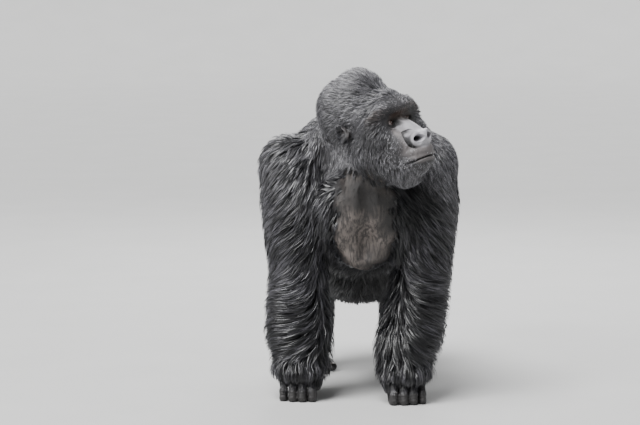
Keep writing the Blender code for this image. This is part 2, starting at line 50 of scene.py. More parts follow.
EYE_DEPTH = -0.1215  # of the frame's eyes, along the head's own Y
EYE_HEIGHT = 0.008

eye_corners = [corner for word in ("right", "left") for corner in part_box("eye_" + word)]
between_eyes = sum(eye_corners, Vector()) / len(eye_corners)
DRAWING_SHIFT = between_eyes - HEAD_PLACE - HEAD_TURN @ Vector((0, EYE_DEPTH, EYE_HEIGHT))


# The studio: a pale matt floor under a broad overhead light, with a side box, a weak one
# across from it and a box behind. The camera looks a little down, from 9 m, through 135 mm.
CAMERA_TARGET = Vector((-0.1334, 0.0047, 0.656)) + DRAWING_SHIFT
CAMERA_AZIMUTH = math.radians(-2.0)
CAMERA_HEIGHT_ANGLE = math.radians(7.0)
CAMERA_DISTANCE = 9.0


def looking(obj, place, target):
    obj.location = place
    obj.rotation_euler = (target - place).to_track_quat("-Z", "Y").to_euler()
    bpy.context.scene.collection.objects.link(obj)


def softbox(name, place, target, size, power, colour=(1, 1, 1)):
    light = bpy.data.lights.new(name, "AREA")
    light.shape = "RECTANGLE"
    light.size, light.size_y = size
    light.energy = power
    light.color = colour
    looking(bpy.data.objects.new(name, light), Vector(place), Vector(target))


flat = math.cos(CAMERA_HEIGHT_ANGLE)
sight = (math.sin(CAMERA_AZIMUTH) * flat, -math.cos(CAMERA_AZIMUTH) * flat, math.sin(CAMERA_HEIGHT_ANGLE))
lens = bpy.data.cameras.new("camera")
lens.lens = 135
lens.sensor_width = 36
camera = bpy.data.objects.new("camera", lens)
looking(camera, CAMERA_TARGET + Vector(sight) * CAMERA_DISTANCE, CAMERA_TARGET)
bpy.context.scene.camera = camera

softbox("side box", (-3.6, -2.8, 3.0), (0, -0.2, 0.6), (1.6, 2.0), 170)
softbox("far box", (3.2, -2.0, 2.8), (0, -0.2, 0.6), (1.6, 1.6), 10, (0.93, 0.96, 1.0))
softbox("back box", (0.6, 3.8, 3.4), (0, 0.2, 0.7), (3.0, 2.0), 190)
daylight = bpy.data.lights.new("overhead", "SUN")
daylight.energy = 7.9
daylight.angle = math.radians(34)
looking(bpy.data.objects.new("overhead", daylight), Vector((-1.2, -1.3, 4.4)), Vector((0, 0, 0.6)))

world = bpy.data.worlds.new("studio")
world.use_nodes = True
world.node_tree.nodes["Background"].inputs["Color"].default_value = (0.84, 0.85, 0.86, 1)
world.node_tree.nodes["Background"].inputs["Strength"].default_value = 0.34
bpy.context.scene.world = world


class Look:
    """A socket of a material, on which sums work as they do on numbers."""

    def __init__(self, tree, socket):
        self.tree = tree
        self.socket = socket

    def node(self, kind, settings=None, **sockets):
        """Any node: its type, its settings, then the values or links of its sockets."""
        made = self.tree.nodes.new("ShaderNode" + kind)
        for name, value in (settings or {}).items():
            setattr(made, name, value)
        for name, value in sockets.items():
            wanted = name.replace("_", " ")
            spots = [s for s in made.inputs if s.name == wanted and s.enabled]
            spot = spots[0] if spots else made.inputs[int(name[1:])]
            if isinstance(value, Look):
                self.tree.links.new(value.socket, spot)
            else:
                spot.default_value = value
        return [Look(self.tree, out) for out in made.outputs if out.enabled]

    def maths(self, operation, one, two):
        return self.node("Math", {"operation": operation}, i0=one, i1=two)[0]

    def __add__(self, other):
        return self.maths("ADD", self, other)

    def __sub__(self, other):
        return self.maths("SUBTRACT", self, other)

    def __rsub__(self, other):
        return self.maths("SUBTRACT", other, self)

    def __mul__(self, other):
        return self.maths("MULTIPLY", self, other)

    __radd__ = __add__
    __rmul__ = __mul__

    def held(self):
        """The value held between 0 and 1."""
        return self.node("Clamp", Value=self)[0]

    def steps(self, low, high):
        """0 below low and 1 above high, with a soft change between."""
        settings = {"interpolation_type": "SMOOTHSTEP"}
        return self.node("MapRange", settings, Value=self, i1=low, i2=high)[0]

    def between(self, one, two):
        """A colour mixed by this mask from one to two."""
        return self.node("Mix", {"data_type": "RGBA"}, Factor=self, A=one, B=two)[-1]


def new_look(name):
    """A material, its shader's own sockets, and a start for its expressions."""
    made = bpy.data.materials.new(name)
    made.use_nodes = True
    tree = made.node_tree
    shader = tree.nodes["Principled BSDF"]
    place = tree.nodes.new("ShaderNodeTexCoord").outputs["Object"]
    return made, shader, Look(tree, place)


def feed(shader, **values):
    """Sets or links the shader's sockets."""
    for name, value in values.items():
        socket = shader.inputs[name.replace("_", " ")]
        if isinstance(value, Look):
            value.tree.links.new(value.socket, socket)
        else:
            socket.default_value = value


FLOOR_RADIUS = 16.0
COVE_RADIUS = 5.0
WALL_HEIGHT = 9.0
floor_look, shader, place = new_look("pale floor")
speckle = place.node("TexNoise", Vector=place, Scale=3.0, Detail=6.0)[0]
feed(shader, Base_Color=speckle.between((0.36, 0.36, 0.357, 1), (0.40, 0.40, 0.397, 1)))
feed(shader, Roughness=0.8)
# A round sweep: flat floor, a cove, then a wall, so that no edge shows behind.
sweep = [(FLOOR_RADIUS / 2, 0.0)]
for step in range(13):
    turn = math.pi / 2 * step / 12
    sweep.append((FLOOR_RADIUS + COVE_RADIUS * math.sin(turn), COVE_RADIUS * (1 - math.cos(turn))))
sweep.append((FLOOR_RADIUS + COVE_RADIUS, WALL_HEIGHT))
FLOOR_SIDES = 96
corners, panels = [], [tuple(range(FLOOR_SIDES))]
for row, (reach, height) in enumerate(sweep):
    for k in range(FLOOR_SIDES):
        turn = 2 * math.pi * k / FLOOR_SIDES
        corners.append((reach * math.cos(turn), reach * math.sin(turn), height))
        if row:
            one, two = ((row - 1) * FLOOR_SIDES + n % FLOOR_SIDES for n in (k, k + 1))
            panels.append((two, one, one + FLOOR_SIDES, two + FLOOR_SIDES))
floor_mesh = bpy.data.meshes.new("floor")
floor_mesh.from_pydata(corners, [], panels)
floor_mesh.shade_smooth()
floor_mesh.materials.append(floor_look)
floor = bpy.data.objects.new("floor", floor_mesh)
bpy.context.scene.collection.objects.link(floor)


# The body under its coat: chest, belly, rump and neck with the muscle that lies over them.
# It is modelled as clay masses pressed together, joined into one skin and smoothed.
WITHERS_HEIGHT = 1.005
BELLY_CLEARANCE = 0.275
RUMP_REACH = 0.560
CHEST_REACH = 0.365
BODY_LEAN = 0.020


def turned(degrees):
    return Euler([math.radians(angle) for angle in degrees]).to_matrix().to_4x4()


def both(side, point):
    return Vector((side * point[0], point[1], point[2]))


def close_round(clay, loops):
    """Skins a row of loops, with a flat cap on each end."""
    for one, two in zip(loops, loops[1:]):
        for k in range(len(one)):
            n = (k + 1) % len(one)
            clay.faces.new((one[k], one[n], two[n], two[k]))
    clay.faces.new(loops[0][::-1])
    clay.faces.new(loops[-1])


BALL = []
for ring in range(15):
    rise = math.pi * (ring + 0.5) / 15
    round_turns = [2 * math.pi * k / 26 for k in range(26)]
    BALL.append(
        [(math.sin(rise) * math.cos(u), math.sin(rise) * math.sin(u), -math.cos(rise)) for u in round_turns]
    )


def mass(clay, centre, radii, turn=(0, 0, 0), place=None):
    """Presses an ellipsoid into the clay, turned by degrees about its own centre."""
    shape = Matrix.Translation(centre) @ turned(turn) @ Matrix.Diagonal((*radii, 1))
    if place is not None:
        shape = place @ shape
    close_round(clay, [[clay.verts.new(shape @ Vector(p)) for p in row] for row in BALL])


def between(stations, share):
    """A smooth (Catmull-Rom) reading of the stations at share 0 to 1."""
    rows = [np.array(station, float) for station in stations]
    rows = [2 * rows[0] - rows[1], *rows, 2 * rows[-1] - rows[-2]]
    where = share * (len(stations) - 1)
    first = min(int(where), len(stations) - 2)
    t = where - first
    a, b, c, d = rows[first : first + 4]
    curve = 2 * b + (c - a) * t + (2 * a - 5 * b + 4 * c - d) * t**2
    return 0.5 * (curve + (3 * b - a - 3 * c + d) * t**3)


def limb(clay, stations, fullness=2.0, rings=22, sides=28, place=None):
    """Lofts a limb through stations of x, y, z, half width and half depth.

    The width lies along X as far as the limb's own direction allows. Both ends
    are rounded off. A fullness over 2 makes the section boxier.
    """
    place = place or Matrix.Identity(4)
    across = place.to_3x3() @ Vector((1, 0, 0))
    rows = [between(stations, i / (rings - 1)) for i in range(rings)]
    centres = [place @ Vector(row[:3]) for row in rows]
    sections = []
    for i, row in enumerate(rows):
        along = centres[min(i + 1, rings - 1)] - centres[max(i - 1, 0)]
        sections.append((centres[i], along.normalized(), row[3], row[4]))
    bulges = [math.radians(angle) for angle in (80, 60, 30)]
    for end, sign in ((0, -1), (-1, 1)):
        centre, along, wide, deep = sections[end]
        reach = 0.8 * min(wide, deep)
        caps = []
        for angle in bulges:
            spot = centre + along * sign * reach * math.sin(angle)
            caps.append((spot, along, wide * math.cos(angle), deep * math.cos(angle)))
        sections = caps + sections if end == 0 else sections + caps[::-1]
    loops = []
    for centre, along, wide, deep in sections:
        side = (across - along * across.dot(along)).normalized()
        down = along.cross(side)
        loop = []
        for k in range(sides):
            angle = 2 * math.pi * k / sides
            c, s = math.cos(angle), math.sin(angle)
            x = math.copysign(abs(c) ** (2 / fullness), c) * wide
            y = math.copysign(abs(s) ** (2 / fullness), s) * deep
            loop.append(clay.verts.new(centre + side * x + down * y))
        loops.append(loop)
    close_round(clay, loops)


body = bmesh.new()
lean = Matrix.Translation((BODY_LEAN, 0, 0))
profile = [
    # y, underside, top, half width
    (-CHEST_REACH + 0.045, 0.585, 0.885, 0.120),
    (-CHEST_REACH + 0.120, 0.510, 0.955, 0.165),
    (-0.110, 0.435, WITHERS_HEIGHT - 0.040, 0.205),
    (0.040, 0.355, 0.925, 0.235),
    (0.180, BELLY_CLEARANCE, 0.880, 0.240),
    (0.310, 0.310, 0.835, 0.225),
    (0.420, 0.375, 0.790, 0.195),
    (RUMP_REACH - 0.065, 0.460, 0.720, 0.120),
]
trunk = [(0, y, (low + top) / 2, wide, (top - low) / 2) for y, low, top, wide in profile]
limb(body, trunk, fullness=2.15, place=lean)
mass(body, (0, -0.285, 0.560), (0.135, 0.075, 0.095), place=lean)
mass(body, (0, -0.130, 0.890), (0.110, 0.170, WITHERS_HEIGHT - 0.890), place=lean)
nape = HEAD_PLACE + Vector((-0.032, 0.075, 0.000))
neck = [
    (BODY_LEAN, -0.110, 0.860, 0.185, 0.145),
    (0.020, -0.220, 0.915, 0.165, 0.145),
    (nape.x, nape.y, nape.z, 0.114, 0.140),
]
limb(body, neck)
mass(body, (0.035, -0.300, 0.865), (0.125, 0.095, 0.110), turn=(25, 0, 0))
for side in (-1, 1):
    # Breast muscle, shoulder blade, flank, buttock, and trapezius down from the skull.
    mass(body, both(side, (0.080, -0.305, 0.690)), (0.100, 0.078, 0.150), place=lean)
    mass(body, both(side, (0.130, -0.085, 0.850)), (0.145, 0.180, 0.128), place=lean)
    mass(body, both(side, (0.155, 0.020, 0.680)), (0.100, 0.190, 0.190), place=lean)
    mass(body, both(side, (0.085, 0.430, 0.600)), (0.115, 0.120, 0.150), place=lean)
    mass(body, both(side, (0.130, -0.190, 0.922)), (0.150, 0.120, 0.092), (0, side * 30, 0))
# The mane of the nape stands higher and steeper on the side the head turns to.
mass(body, (-0.120, -0.125, 0.960), (0.125, 0.160, 0.075), (-12, -30, 0))
mass(body, (0.176, -0.112, 0.960), (0.100, 0.155, 0.083), (-14, 50, 0))
mass(body, (0.050, -0.035, 0.920), (0.215, 0.200, 0.104), (-8, 0, 0))


# The arms and legs: straight-armed on the knuckles, knees bent, the right foot further back.
# Each limb is one loft from shoulder or hip to wrist or ankle, with its muscle over it.
SHOULDER_JOINT = Vector((0.250, -0.195, 0.830))
HIP_SPREAD = 0.140
FOOT_SPREAD = 0.150
LEG_STAGGER = {-1: 0.035, 1: -0.035}
ARM = {
    1: [
        (0.246, -0.205, 0.840, 0.118, 0.130),
        (0.248, -0.205, 0.730, 0.128, 0.135),
        (0.240, -0.210, 0.600, 0.124, 0.128),
        (0.232, -0.215, 0.470, 0.118, 0.120),
        (0.216, -0.240, 0.370, 0.126, 0.120),
        (0.194, -0.275, 0.270, 0.130, 0.116),
        (0.169, -0.312, 0.185, 0.125, 0.104),
        (0.167, -0.335, 0.120, 0.099, 0.084),
    ],
    -1: [
        (0.238, -0.205, 0.840, 0.118, 0.130),
        (0.236, -0.205, 0.730, 0.130, 0.138),
        (0.228, -0.210, 0.600, 0.124, 0.130),
        (0.222, -0.205, 0.470, 0.116, 0.120),
        (0.220, -0.212, 0.370, 0.126, 0.120),
        (0.220, -0.228, 0.270, 0.130, 0.116),
        (0.213, -0.248, 0.185, 0.125, 0.104),
        (0.220, -0.262, 0.120, 0.102, 0.084),
    ],
}


def ankle_place(side):
    return Vector((BODY_LEAN + side * FOOT_SPREAD, 0.385 + LEG_STAGGER[side], 0.0))


for side in (-1, 1):
    limb(body, [(side * x, y, z, w, d) for x, y, z, w, d in ARM[side]])
    mass(body, both(side, SHOULDER_JOINT), (0.122, 0.135, 0.150), turn=(0, side * 12, 0))
    elbow = ARM[side][3]
    mass(body, (side * elbow[0], elbow[1] + 0.035, 0.455), (0.090, 0.105, 0.095))
    ankle = ankle_place(side)
    shift = LEG_STAGGER[side]
    hip = BODY_LEAN + side * HIP_SPREAD
    leg = [
        (hip - side * 0.010, 0.390, 0.620, 0.120, 0.160),
        (hip + side * 0.015, 0.340 + 0.4 * shift, 0.500, 0.120, 0.155),
        (hip + side * 0.030, 0.255 + 0.8 * shift, 0.375, 0.105, 0.120),
        (hip + side * 0.030, 0.265 + shift, 0.290, 0.092, 0.100),
        (ankle.x + side * 0.012, 0.320 + shift, 0.200, 0.084, 0.094),
        (ankle.x + side * 0.004, 0.370 + shift, 0.115, 0.068, 0.074),
        (ankle.x, ankle.y + 0.008, 0.065, 0.048, 0.056),
    ]
    limb(body, leg)


# The skull: the head's broad masses, with the tall crest of muscle and fat over it, the
# muzzle, the cheeks and the jaw. Then the whole clay is joined, smoothed and drawn in by
# the depth that the coat has at each place, so that the hair's tips give the outline.
BODY_VOXEL = 0.0065
HEAD_FRAME = Matrix.Translation(HEAD_PLACE) @ HEAD_TURN.to_4x4()


def lump(clay, centre, radii, turn=(0, 0, 0)):
    """A mass in the head's own frame: origin about midway between the ears, facing -Y."""
    mass(clay, centre, radii, turn, HEAD_FRAME)


lump(body, (0, 0.020, 0.050), (0.112, 0.140, 0.105))
lump(body, (0, 0.034, 0.108), (0.090, 0.120, 0.116), turn=(8, 0, 0))
lump(body, (0, -0.035, 0.062), (0.088, 0.118, 0.080), turn=(-12, 0, 0))
lump(body, (0, 0.112, 0.068), (0.122, 0.114, 0.128))
lump(body, (0, -0.122, -0.085), (0.080, 0.096, 0.080))
lump(body, (0, -0.142, -0.128), (0.076, 0.090, 0.058))
lump(body, (0, -0.115, -0.190), (0.072, 0.080, 0.050))
lump(body, (0, -0.030, -0.135), (0.092, 0.110, 0.080))
for side in (-1, 1):
    # Brow, temple, cheekbone, jaw, cheek, side of the skull, and the orbit's floor.
    lump(body, (side * 0.050, -0.120, 0.066), (0.064, 0.044, 0.032), (0, side * 8, side * 14))
    lump(body, (side * 0.098, -0.080, 0.012), (0.044, 0.068, 0.058))
    lump(body, (side * 0.086, -0.098, -0.032), (0.050, 0.062, 0.050))
    lump(body, (side * 0.082, -0.020, -0.072), (0.052, 0.100, 0.092))
    lump(body, (side * 0.062, -0.088, -0.115), (0.052, 0.074, 0.068))
    lump(body, (side * 0.088, 0.040, 0.050), (0.034, 0.090, 0.080))
    lump(body, (side * 0.042, -0.106, 0.010), (0.042, 0.034, 0.038))


def object_from(name, clay):
    mesh = bpy.data.meshes.new(name)
    clay.to_mesh(mesh)
    clay.free()
    obj = bpy.data.objects.new(name, mesh)
    bpy.context.scene.collection.objects.link(obj)
    return obj


def settle(obj, kind, **settings):
    """Applies one modifier to the object."""
    change = obj.modifiers.new(kind.lower(), kind)
    for name, value in settings.items():
        setattr(change, name, value)
    graph = bpy.context.evaluated_depsgraph_get()
    graph.update()
    made = bpy.data.meshes.new_from_object(obj.evaluated_get(graph))
    old = obj.data
    obj.modifiers.clear()
    obj.data = made
    bpy.data.meshes.remove(old)
    return obj


def points_of(mesh):
    points = np.empty(len(mesh.vertices) * 3)
    mesh.vertices.foreach_get("co", points)
    return points.reshape(-1, 3)


def normals_of(mesh):
    normals = np.empty(len(mesh.vertices) * 3, np.float32)
    mesh.vertex_normals.foreach_get("vector", normals)
    return normals.reshape(-1, 3).astype(float)


def set_points(mesh, points):
    mesh.vertices.foreach_set("co", np.ascontiguousarray(points, np.float32).ravel())
    mesh.update()


def soft_step(value, low, high):
    """0 at low, 1 at high, and smooth between."""
    share = np.clip((value - low) / (high - low), 0, 1)
    return share * share * (3 - 2 * share)


def fades(value, low, high):
    """1 at low, 0 at high, and smooth between."""
    return 1 - soft_step(value, low, high)


def mixed(one, two, share):
    """From one to two by share, where the rows of points may each have their own share."""
    return one + (two - one) * (share[:, None] if one.ndim > share.ndim else share)


def in_head(points):
    """The points in the head's own frame."""
    return (points - np.array(HEAD_PLACE)) @ np.array(HEAD_TURN)


FACE_MIDDLE = -0.055


def face_reach(local):
    """1 on the edge of the bare face, less inside it and more outside."""
    x, y, z = local.T
    upper = z > FACE_MIDDLE
    aside = np.abs(x) / (0.062 + 0.012 * soft_step(-z, 0.03, 0.10))
    off = np.abs(z - FACE_MIDDLE) / np.where(upper, 0.098, 0.106)
    reach = np.where(upper, (aside**3.5 + off**3.5) ** (1 / 3.5), np.hypot(aside, off))
    return reach + 2.5 * np.clip(y + 0.098, 0, None) / 0.10


def of_head(points):
    """1 on the head, falling to 0 over the neck."""
    _, y, z = in_head(points).T
    return fades(y * 0.55 - z * 0.60, 0.095, 0.165)


def of_chest(points):
    """1 on the bare breast, falling to 0 in the coat round it."""
    x, y, z = points.T
    x, z = (x - BODY_LEAN + 0.004) / 0.126, z - 0.650
    ragged = 0.05 * np.sin(47 * z + 60 * x * 0.126) + 0.04 * np.sin(83 * z + 1.3) * np.sign(x)
    z = np.where(z < 0, z / 0.205, z / 0.270)
    apart = (np.abs(x) ** 2.4 + np.abs(z) ** 2.4) ** (1 / 2.4) + ragged
    return fades(apart, 0.72, 1.08) * soft_step(-y, 0.285, 0.325)


def of_arm(points):
    """1 on the arms below the shoulder, 0 on the trunk."""
    x, y, z = points.T
    outside = soft_step(np.abs(x - 0.3 * BODY_LEAN), 0.105, 0.160)
    fore = soft_step(-y, 0.04, 0.12)
    return np.maximum(outside, fades(z, 0.40, 0.47)) * fore * fades(z, 0.88, 0.97)


def of_leg(points):
    """1 on the hind legs, 0 on the trunk."""
    x, y, z = points.T
    outside = soft_step(np.abs(x - BODY_LEAN), 0.06, 0.11)
    return fades(z, 0.42, 0.58) * outside * soft_step(y, 0.08, 0.14)


COAT_DEPTH = {
    "arm": ([0.04, 0.09, 0.12, 0.16, 0.21, 0.28, 0.40, 0.52, 0.70, 0.95],
            [0.001, 0.006, 0.026, 0.036, 0.038, 0.040, 0.038, 0.032, 0.026, 0.024]),
    "leg": ([0.05, 0.08, 0.12, 0.20, 0.34, 0.50],
            [0.001, 0.004, 0.010, 0.018, 0.024, 0.024]),
}


def of_back(points):
    """1 on the back behind the withers, where the coat is shortest."""
    return soft_step(points[:, 2], 0.72, 0.86) * soft_step(points[:, 1], -0.10, 0.06)


def by_limb(value, table, points):
    """The value, with the limbs' own by height from the table."""
    for part, share in (("arm", of_arm(points)), ("leg", of_leg(points))):
        value = mixed(value, np.interp(points[:, 2], *table[part]), share)
    return value


def coat_depth(points):
    """How far the hair's tips stand off the skin, in metres."""
    depth = by_limb(0.024 - 0.009 * of_back(points), COAT_DEPTH, points)
    depth *= 1 - 0.92 * of_chest(points)
    local = in_head(points)
    on_head = 0.0165 * soft_step(face_reach(local), 0.95, 1.60)
    on_head *= 1 - 0.60 * soft_step(-local[:, 1], 0.085, 0.115) * soft_step(local[:, 2], 0.01, 0.04)
    return mixed(depth, on_head, of_head(points))


skin = object_from("skin", body)
settle(skin, "REMESH", mode="VOXEL", voxel_size=BODY_VOXEL)
settle(skin, "SMOOTH", factor=0.5, iterations=60)


def press(points, spots, radii, push, sharp=2.0):
    """Moves the points near a spot, or near a line of close spots, by push, fading out
    over the radii. The push may change from spot to spot."""
    spots = np.atleast_2d(np.array(spots, float))
    push = np.broadcast_to(np.array(push, float), spots.shape)
    radii = np.array(radii)
    low, high = spots.min(axis=0) - radii, spots.max(axis=0) + radii
    near = np.nonzero(np.all((points > low) & (points < high), axis=1))[0]
    apart = (((points[near, None] - spots[None]) / radii) ** 2).sum(axis=2)
    nearest = apart.argmin(axis=1)
    fade = np.clip(1 - apart.min(axis=1), 0, 1) ** sharp
    points[near] += fade[:, None] * push[nearest]


points = points_of(skin.data)
furrow = [(BODY_LEAN, -0.375, height) for height in np.linspace(0.560, 0.760, 16)]
press(points, furrow, (0.046, 0.090, 0.060), (0, 0.026, 0))
set_points(skin.data, points)
set_points(skin.data, points - normals_of(skin.data) * coat_depth(points)[:, None])
settle(skin, "SMOOTH", factor=0.5, iterations=8)


# The head, hands and feet are finer than the rest. Each is cut from the body, worked at
# its own fineness and joined again, rim to rim, under the coat.
NECK_SPOT = Vector((0.030, -0.300, 0.945))
NECK_NORMAL = Vector((0.05, -0.70, 0.71)).normalized()
SKULL_REACH = 0.5
EVERYWHERE = 9.0


def slice_off(shape, point, normal, spot=None, reach=EVERYWHERE):
    """Removes what lies beyond a plane, on the normal's side, and returns the cut's edges."""
    spot = spot or point
    faces = [f for f in shape.faces if (f.calc_center_median() - spot).xy.length < reach]
    edges = dict.fromkeys(edge for face in faces for edge in face.edges)
    verts = dict.fromkeys(vert for face in faces for vert in face.verts)
    cut = bmesh.ops.bisect_plane(
        shape,
        geom=faces + list(edges) + list(verts),
        plane_co=point,
        plane_no=normal,
        clear_outer=True,
    )
    return [edge for edge in cut["geom_cut"] if isinstance(edge, bmesh.types.BMEdge)]


def clay_beyond(obj, point, normal, spot, reach):
    """What lies beyond a cut near a spot, as closed clay for finer work."""
    clay = bmesh.new()
    clay.from_mesh(obj.data)
    rims = slice_off(clay, point, -normal)
    far = [f for f in clay.faces if (f.calc_center_median() - spot).xy.length > reach]
    bmesh.ops.delete(clay, geom=far, context="FACES")
    bmesh.ops.edgenet_fill(clay, edges=[edge for edge in rims if edge.is_valid])
    bmesh.ops.triangulate(clay, faces=[f for f in clay.faces if len(f.verts) > 4])
    return clay


fine = clay_beyond(skin, NECK_SPOT, NECK_NORMAL, HEAD_PLACE, SKULL_REACH)


# The face: brow, nose, lips and lids of bare black leathery skin, and the small ears.
# They are laid over the smoothed head, joined to it at a finer size and then carved.
FACE_VOXEL = 0.0026
HEAD_TRIANGLES = 84000
EYE_PLACE = Vector((0.0410, EYE_DEPTH, EYE_HEIGHT))
EYE_RADIUS = 0.0145
EAR_PLACE = Vector((0.1200, 0.0180, 0.0000))
LID_HALF_LENGTH = 0.0196
LID_THICKNESS = 0.0030
MOUTH_CORNER = -0.153  # the height of the mouth's corners
MOUTH_RISE = 0.023  # of its middle over its corners
MOUTH_HALF_WIDTH = 0.071
MUZZLE_REACH = 0.015
NOSE_WING = (0.0242, -0.0620)
NOSE_WING_WIDTH = 0.0260
NOSE_WING_HEIGHT = 0.0325

nose_bridge = [
    (0, -0.126, 0.060, 0.026, 0.026),
    (0, -0.130, 0.016, 0.022, 0.022),
    (0, -0.162, -0.022, 0.033, 0.026),
    (0, -0.188, -0.050, 0.040, 0.026),
]
limb(fine, nose_bridge, rings=12, sides=18, place=HEAD_FRAME)
lump(fine, (0, -0.205, -0.060), (0.028, 0.028, 0.028))
lump(fine, (0, -0.158, -0.108), (0.068, 0.070, 0.036))
lump(fine, (0, -0.150, -0.146), (0.066, 0.074, 0.034))
lump(fine, (0, -0.138, -0.172), (0.054, 0.070, 0.026))
brow = []
for share in np.linspace(-1, 1, 9):
    z = 0.053 + 0.006 * math.sin(math.pi * abs(share)) - 0.022 * abs(share) ** 3
    brow.append((0.096 * share, -0.141 + 0.050 * abs(share) ** 2.6, z))
for one, two in zip(brow, brow[1:]):
    for share in (0.0, 0.5):
        spot = [a + (b - a) * share for a, b in zip(one, two)]
        lump(fine, spot, (0.022, 0.020, 0.0220), (-12, 0, 0))
for side in (-1, 1):
    lump(fine, (side * 0.038, -0.146, -0.076), (0.044, 0.048, 0.052), (0, 0, side * 14))
    lump(fine, (side * 0.042, -0.113, 0.030), (0.030, 0.022, 0.013), (0, side * 6, side * 10))
    lump(fine, (side * 0.024, -0.197, -0.063), (0.026, 0.025, 0.027))
for lip, bulk in ((0.0085, 0.0085), (-0.0090, 0.0080)):
    # The rims of the lips, above and below the mouth's line.
    rim = []
    for turn in np.radians(np.linspace(-76, 76, 11)):
        y = -0.147 - 0.070 * math.cos(turn)
        z = MOUTH_CORNER + MOUTH_RISE * math.cos(turn) + lip
        rim.append((0.069 * math.sin(turn), y, z, bulk, bulk))
    limb(fine, rim, rings=40, sides=10, place=HEAD_FRAME)


def shaped(name, clay, voxel, rounds):
    """The clay joined at its own fineness and softened."""
    piece = object_from(name, clay)
    settle(piece, "REMESH", mode="VOXEL", voxel_size=voxel)
    return settle(piece, "SMOOTH", factor=0.5, iterations=rounds)


# The broad forms flow into one another before the small ones are laid on.
broad = shaped("broad head", fine, 0.0032, 12)
fine = bmesh.new()
fine.from_mesh(broad.data)
bpy.data.objects.remove(broad)
for side in (-1, 1):
    # The wing of the nose curls round the nostril from the tip to the lip.
    wing = []
    for step in range(7):
        angle = math.radians(115 - 250 * step / 6)
        x = 0.0242 + 0.0166 * math.cos(angle)
        z = -0.063 + 0.0210 * math.sin(angle)
        wing.append((side * x, -0.211 + 0.006 * math.cos(angle), z, 0.0084, 0.0084))
    limb(fine, wing, rings=24, sides=12, place=HEAD_FRAME)
    # The lids: two folds of skin over the ball, meeting at the corners in an almond.
    for lid, rise, bulk in ((1, 0.0110, 1.20), (-1, 0.0100, 0.90)):
        fold = []
        for step in range(7):
            turn = -1 + 2 * step / 6
            x = EYE_PLACE.x + LID_HALF_LENGTH * turn
            z = EYE_PLACE.z + lid * rise * (1 - turn * turn)
            bulge = EYE_RADIUS**2 - (LID_HALF_LENGTH * turn) ** 2 - (z - EYE_PLACE.z) ** 2
            y = EYE_PLACE.y - math.sqrt(max(bulge, 0.2 * EYE_RADIUS**2)) - 0.0008
            thick = bulk * LID_THICKNESS
            fold.append((side * x, y, z + 0.0016 * turn, thick, thick))
        limb(fine, fold, rings=20, sides=10, place=HEAD_FRAME)
    lump(fine, (side * 0.041, -0.113, -0.012), (0.026, 0.021, 0.010), (0, 0, side * 10))
    # The ear: a rolled rim round a thin bowl, with a lobe below.
    ear = HEAD_FRAME @ Matrix.Translation(both(side, EAR_PLACE)) @ turned((-24, 0, side * 28))
    rim = []
    for step in range(9):
        angle = math.radians(-60 + 300 * step / 8)
        rim.append((side * 0.013, 0.017 * math.cos(angle), 0.030 * math.sin(angle), 0.0042, 0.0042))
    limb(fine, rim, rings=30, sides=10, place=ear)
    mass(fine, (side * 0.002, 0.001, 0.000), (0.0058, 0.0180, 0.0300), place=ear)
    mass(fine, (side * 0.009, -0.007, -0.025), (0.0055, 0.0065, 0.0080), place=ear)
    mass(fine, (side * -0.010, 0.000, 0.000), (0.0130, 0.0090, 0.0150), place=ear)


def refine(obj, chosen):
    """Cuts each chosen face into four."""
    shape = bmesh.new()
    shape.from_mesh(obj.data)
    shape.faces.ensure_lookup_table()
    edges = dict.fromkeys(edge for index in chosen for edge in shape.faces[index].edges)
    bmesh.ops.subdivide_edges(shape, edges=list(edges), cuts=1, use_grid_fill=True)
    bmesh.ops.triangulate(shape, faces=[f for f in shape.faces if len(f.verts) > 4])
    shape.to_mesh(obj.data)
    shape.free()


def face_centres(mesh):
    centres = np.empty(len(mesh.polygons) * 3)
    mesh.polygons.foreach_get("center", centres)
    return centres.reshape(-1, 3)


head = shaped("head skin", fine, FACE_VOXEL, 5)
local = in_head(face_centres(head.data))
near = [np.abs(local[:, 0]) < 0.085, local[:, 1] < -0.105, np.abs(local[:, 2] + 0.06) < 0.11]
refine(head, np.nonzero(np.all(near, axis=0))[0])
settle(head, "SMOOTH", factor=0.5, iterations=2)

local = in_head(points_of(head.data))


def moved(points, matrix):
    """The points taken through a 4 x 4 matrix."""
    matrix = np.array(matrix)
    return points @ matrix[:3, :3].T + matrix[:3, 3]


def columns(*values):
    """Rows of points from their X, Y and Z, each a number or a value for every row."""
    return np.stack(np.broadcast_arrays(*values), axis=1)


def arc(side, centre, wide, high, start, end, y=-0.130, steps=30):
    """Spots on part of an ellipse that faces forward, mirrored for the other side."""
    angles = np.radians(np.linspace(start, end, steps))
    return columns(side * (centre[0] + wide * np.cos(angles)), y, centre[1] + high * np.sin(angles))


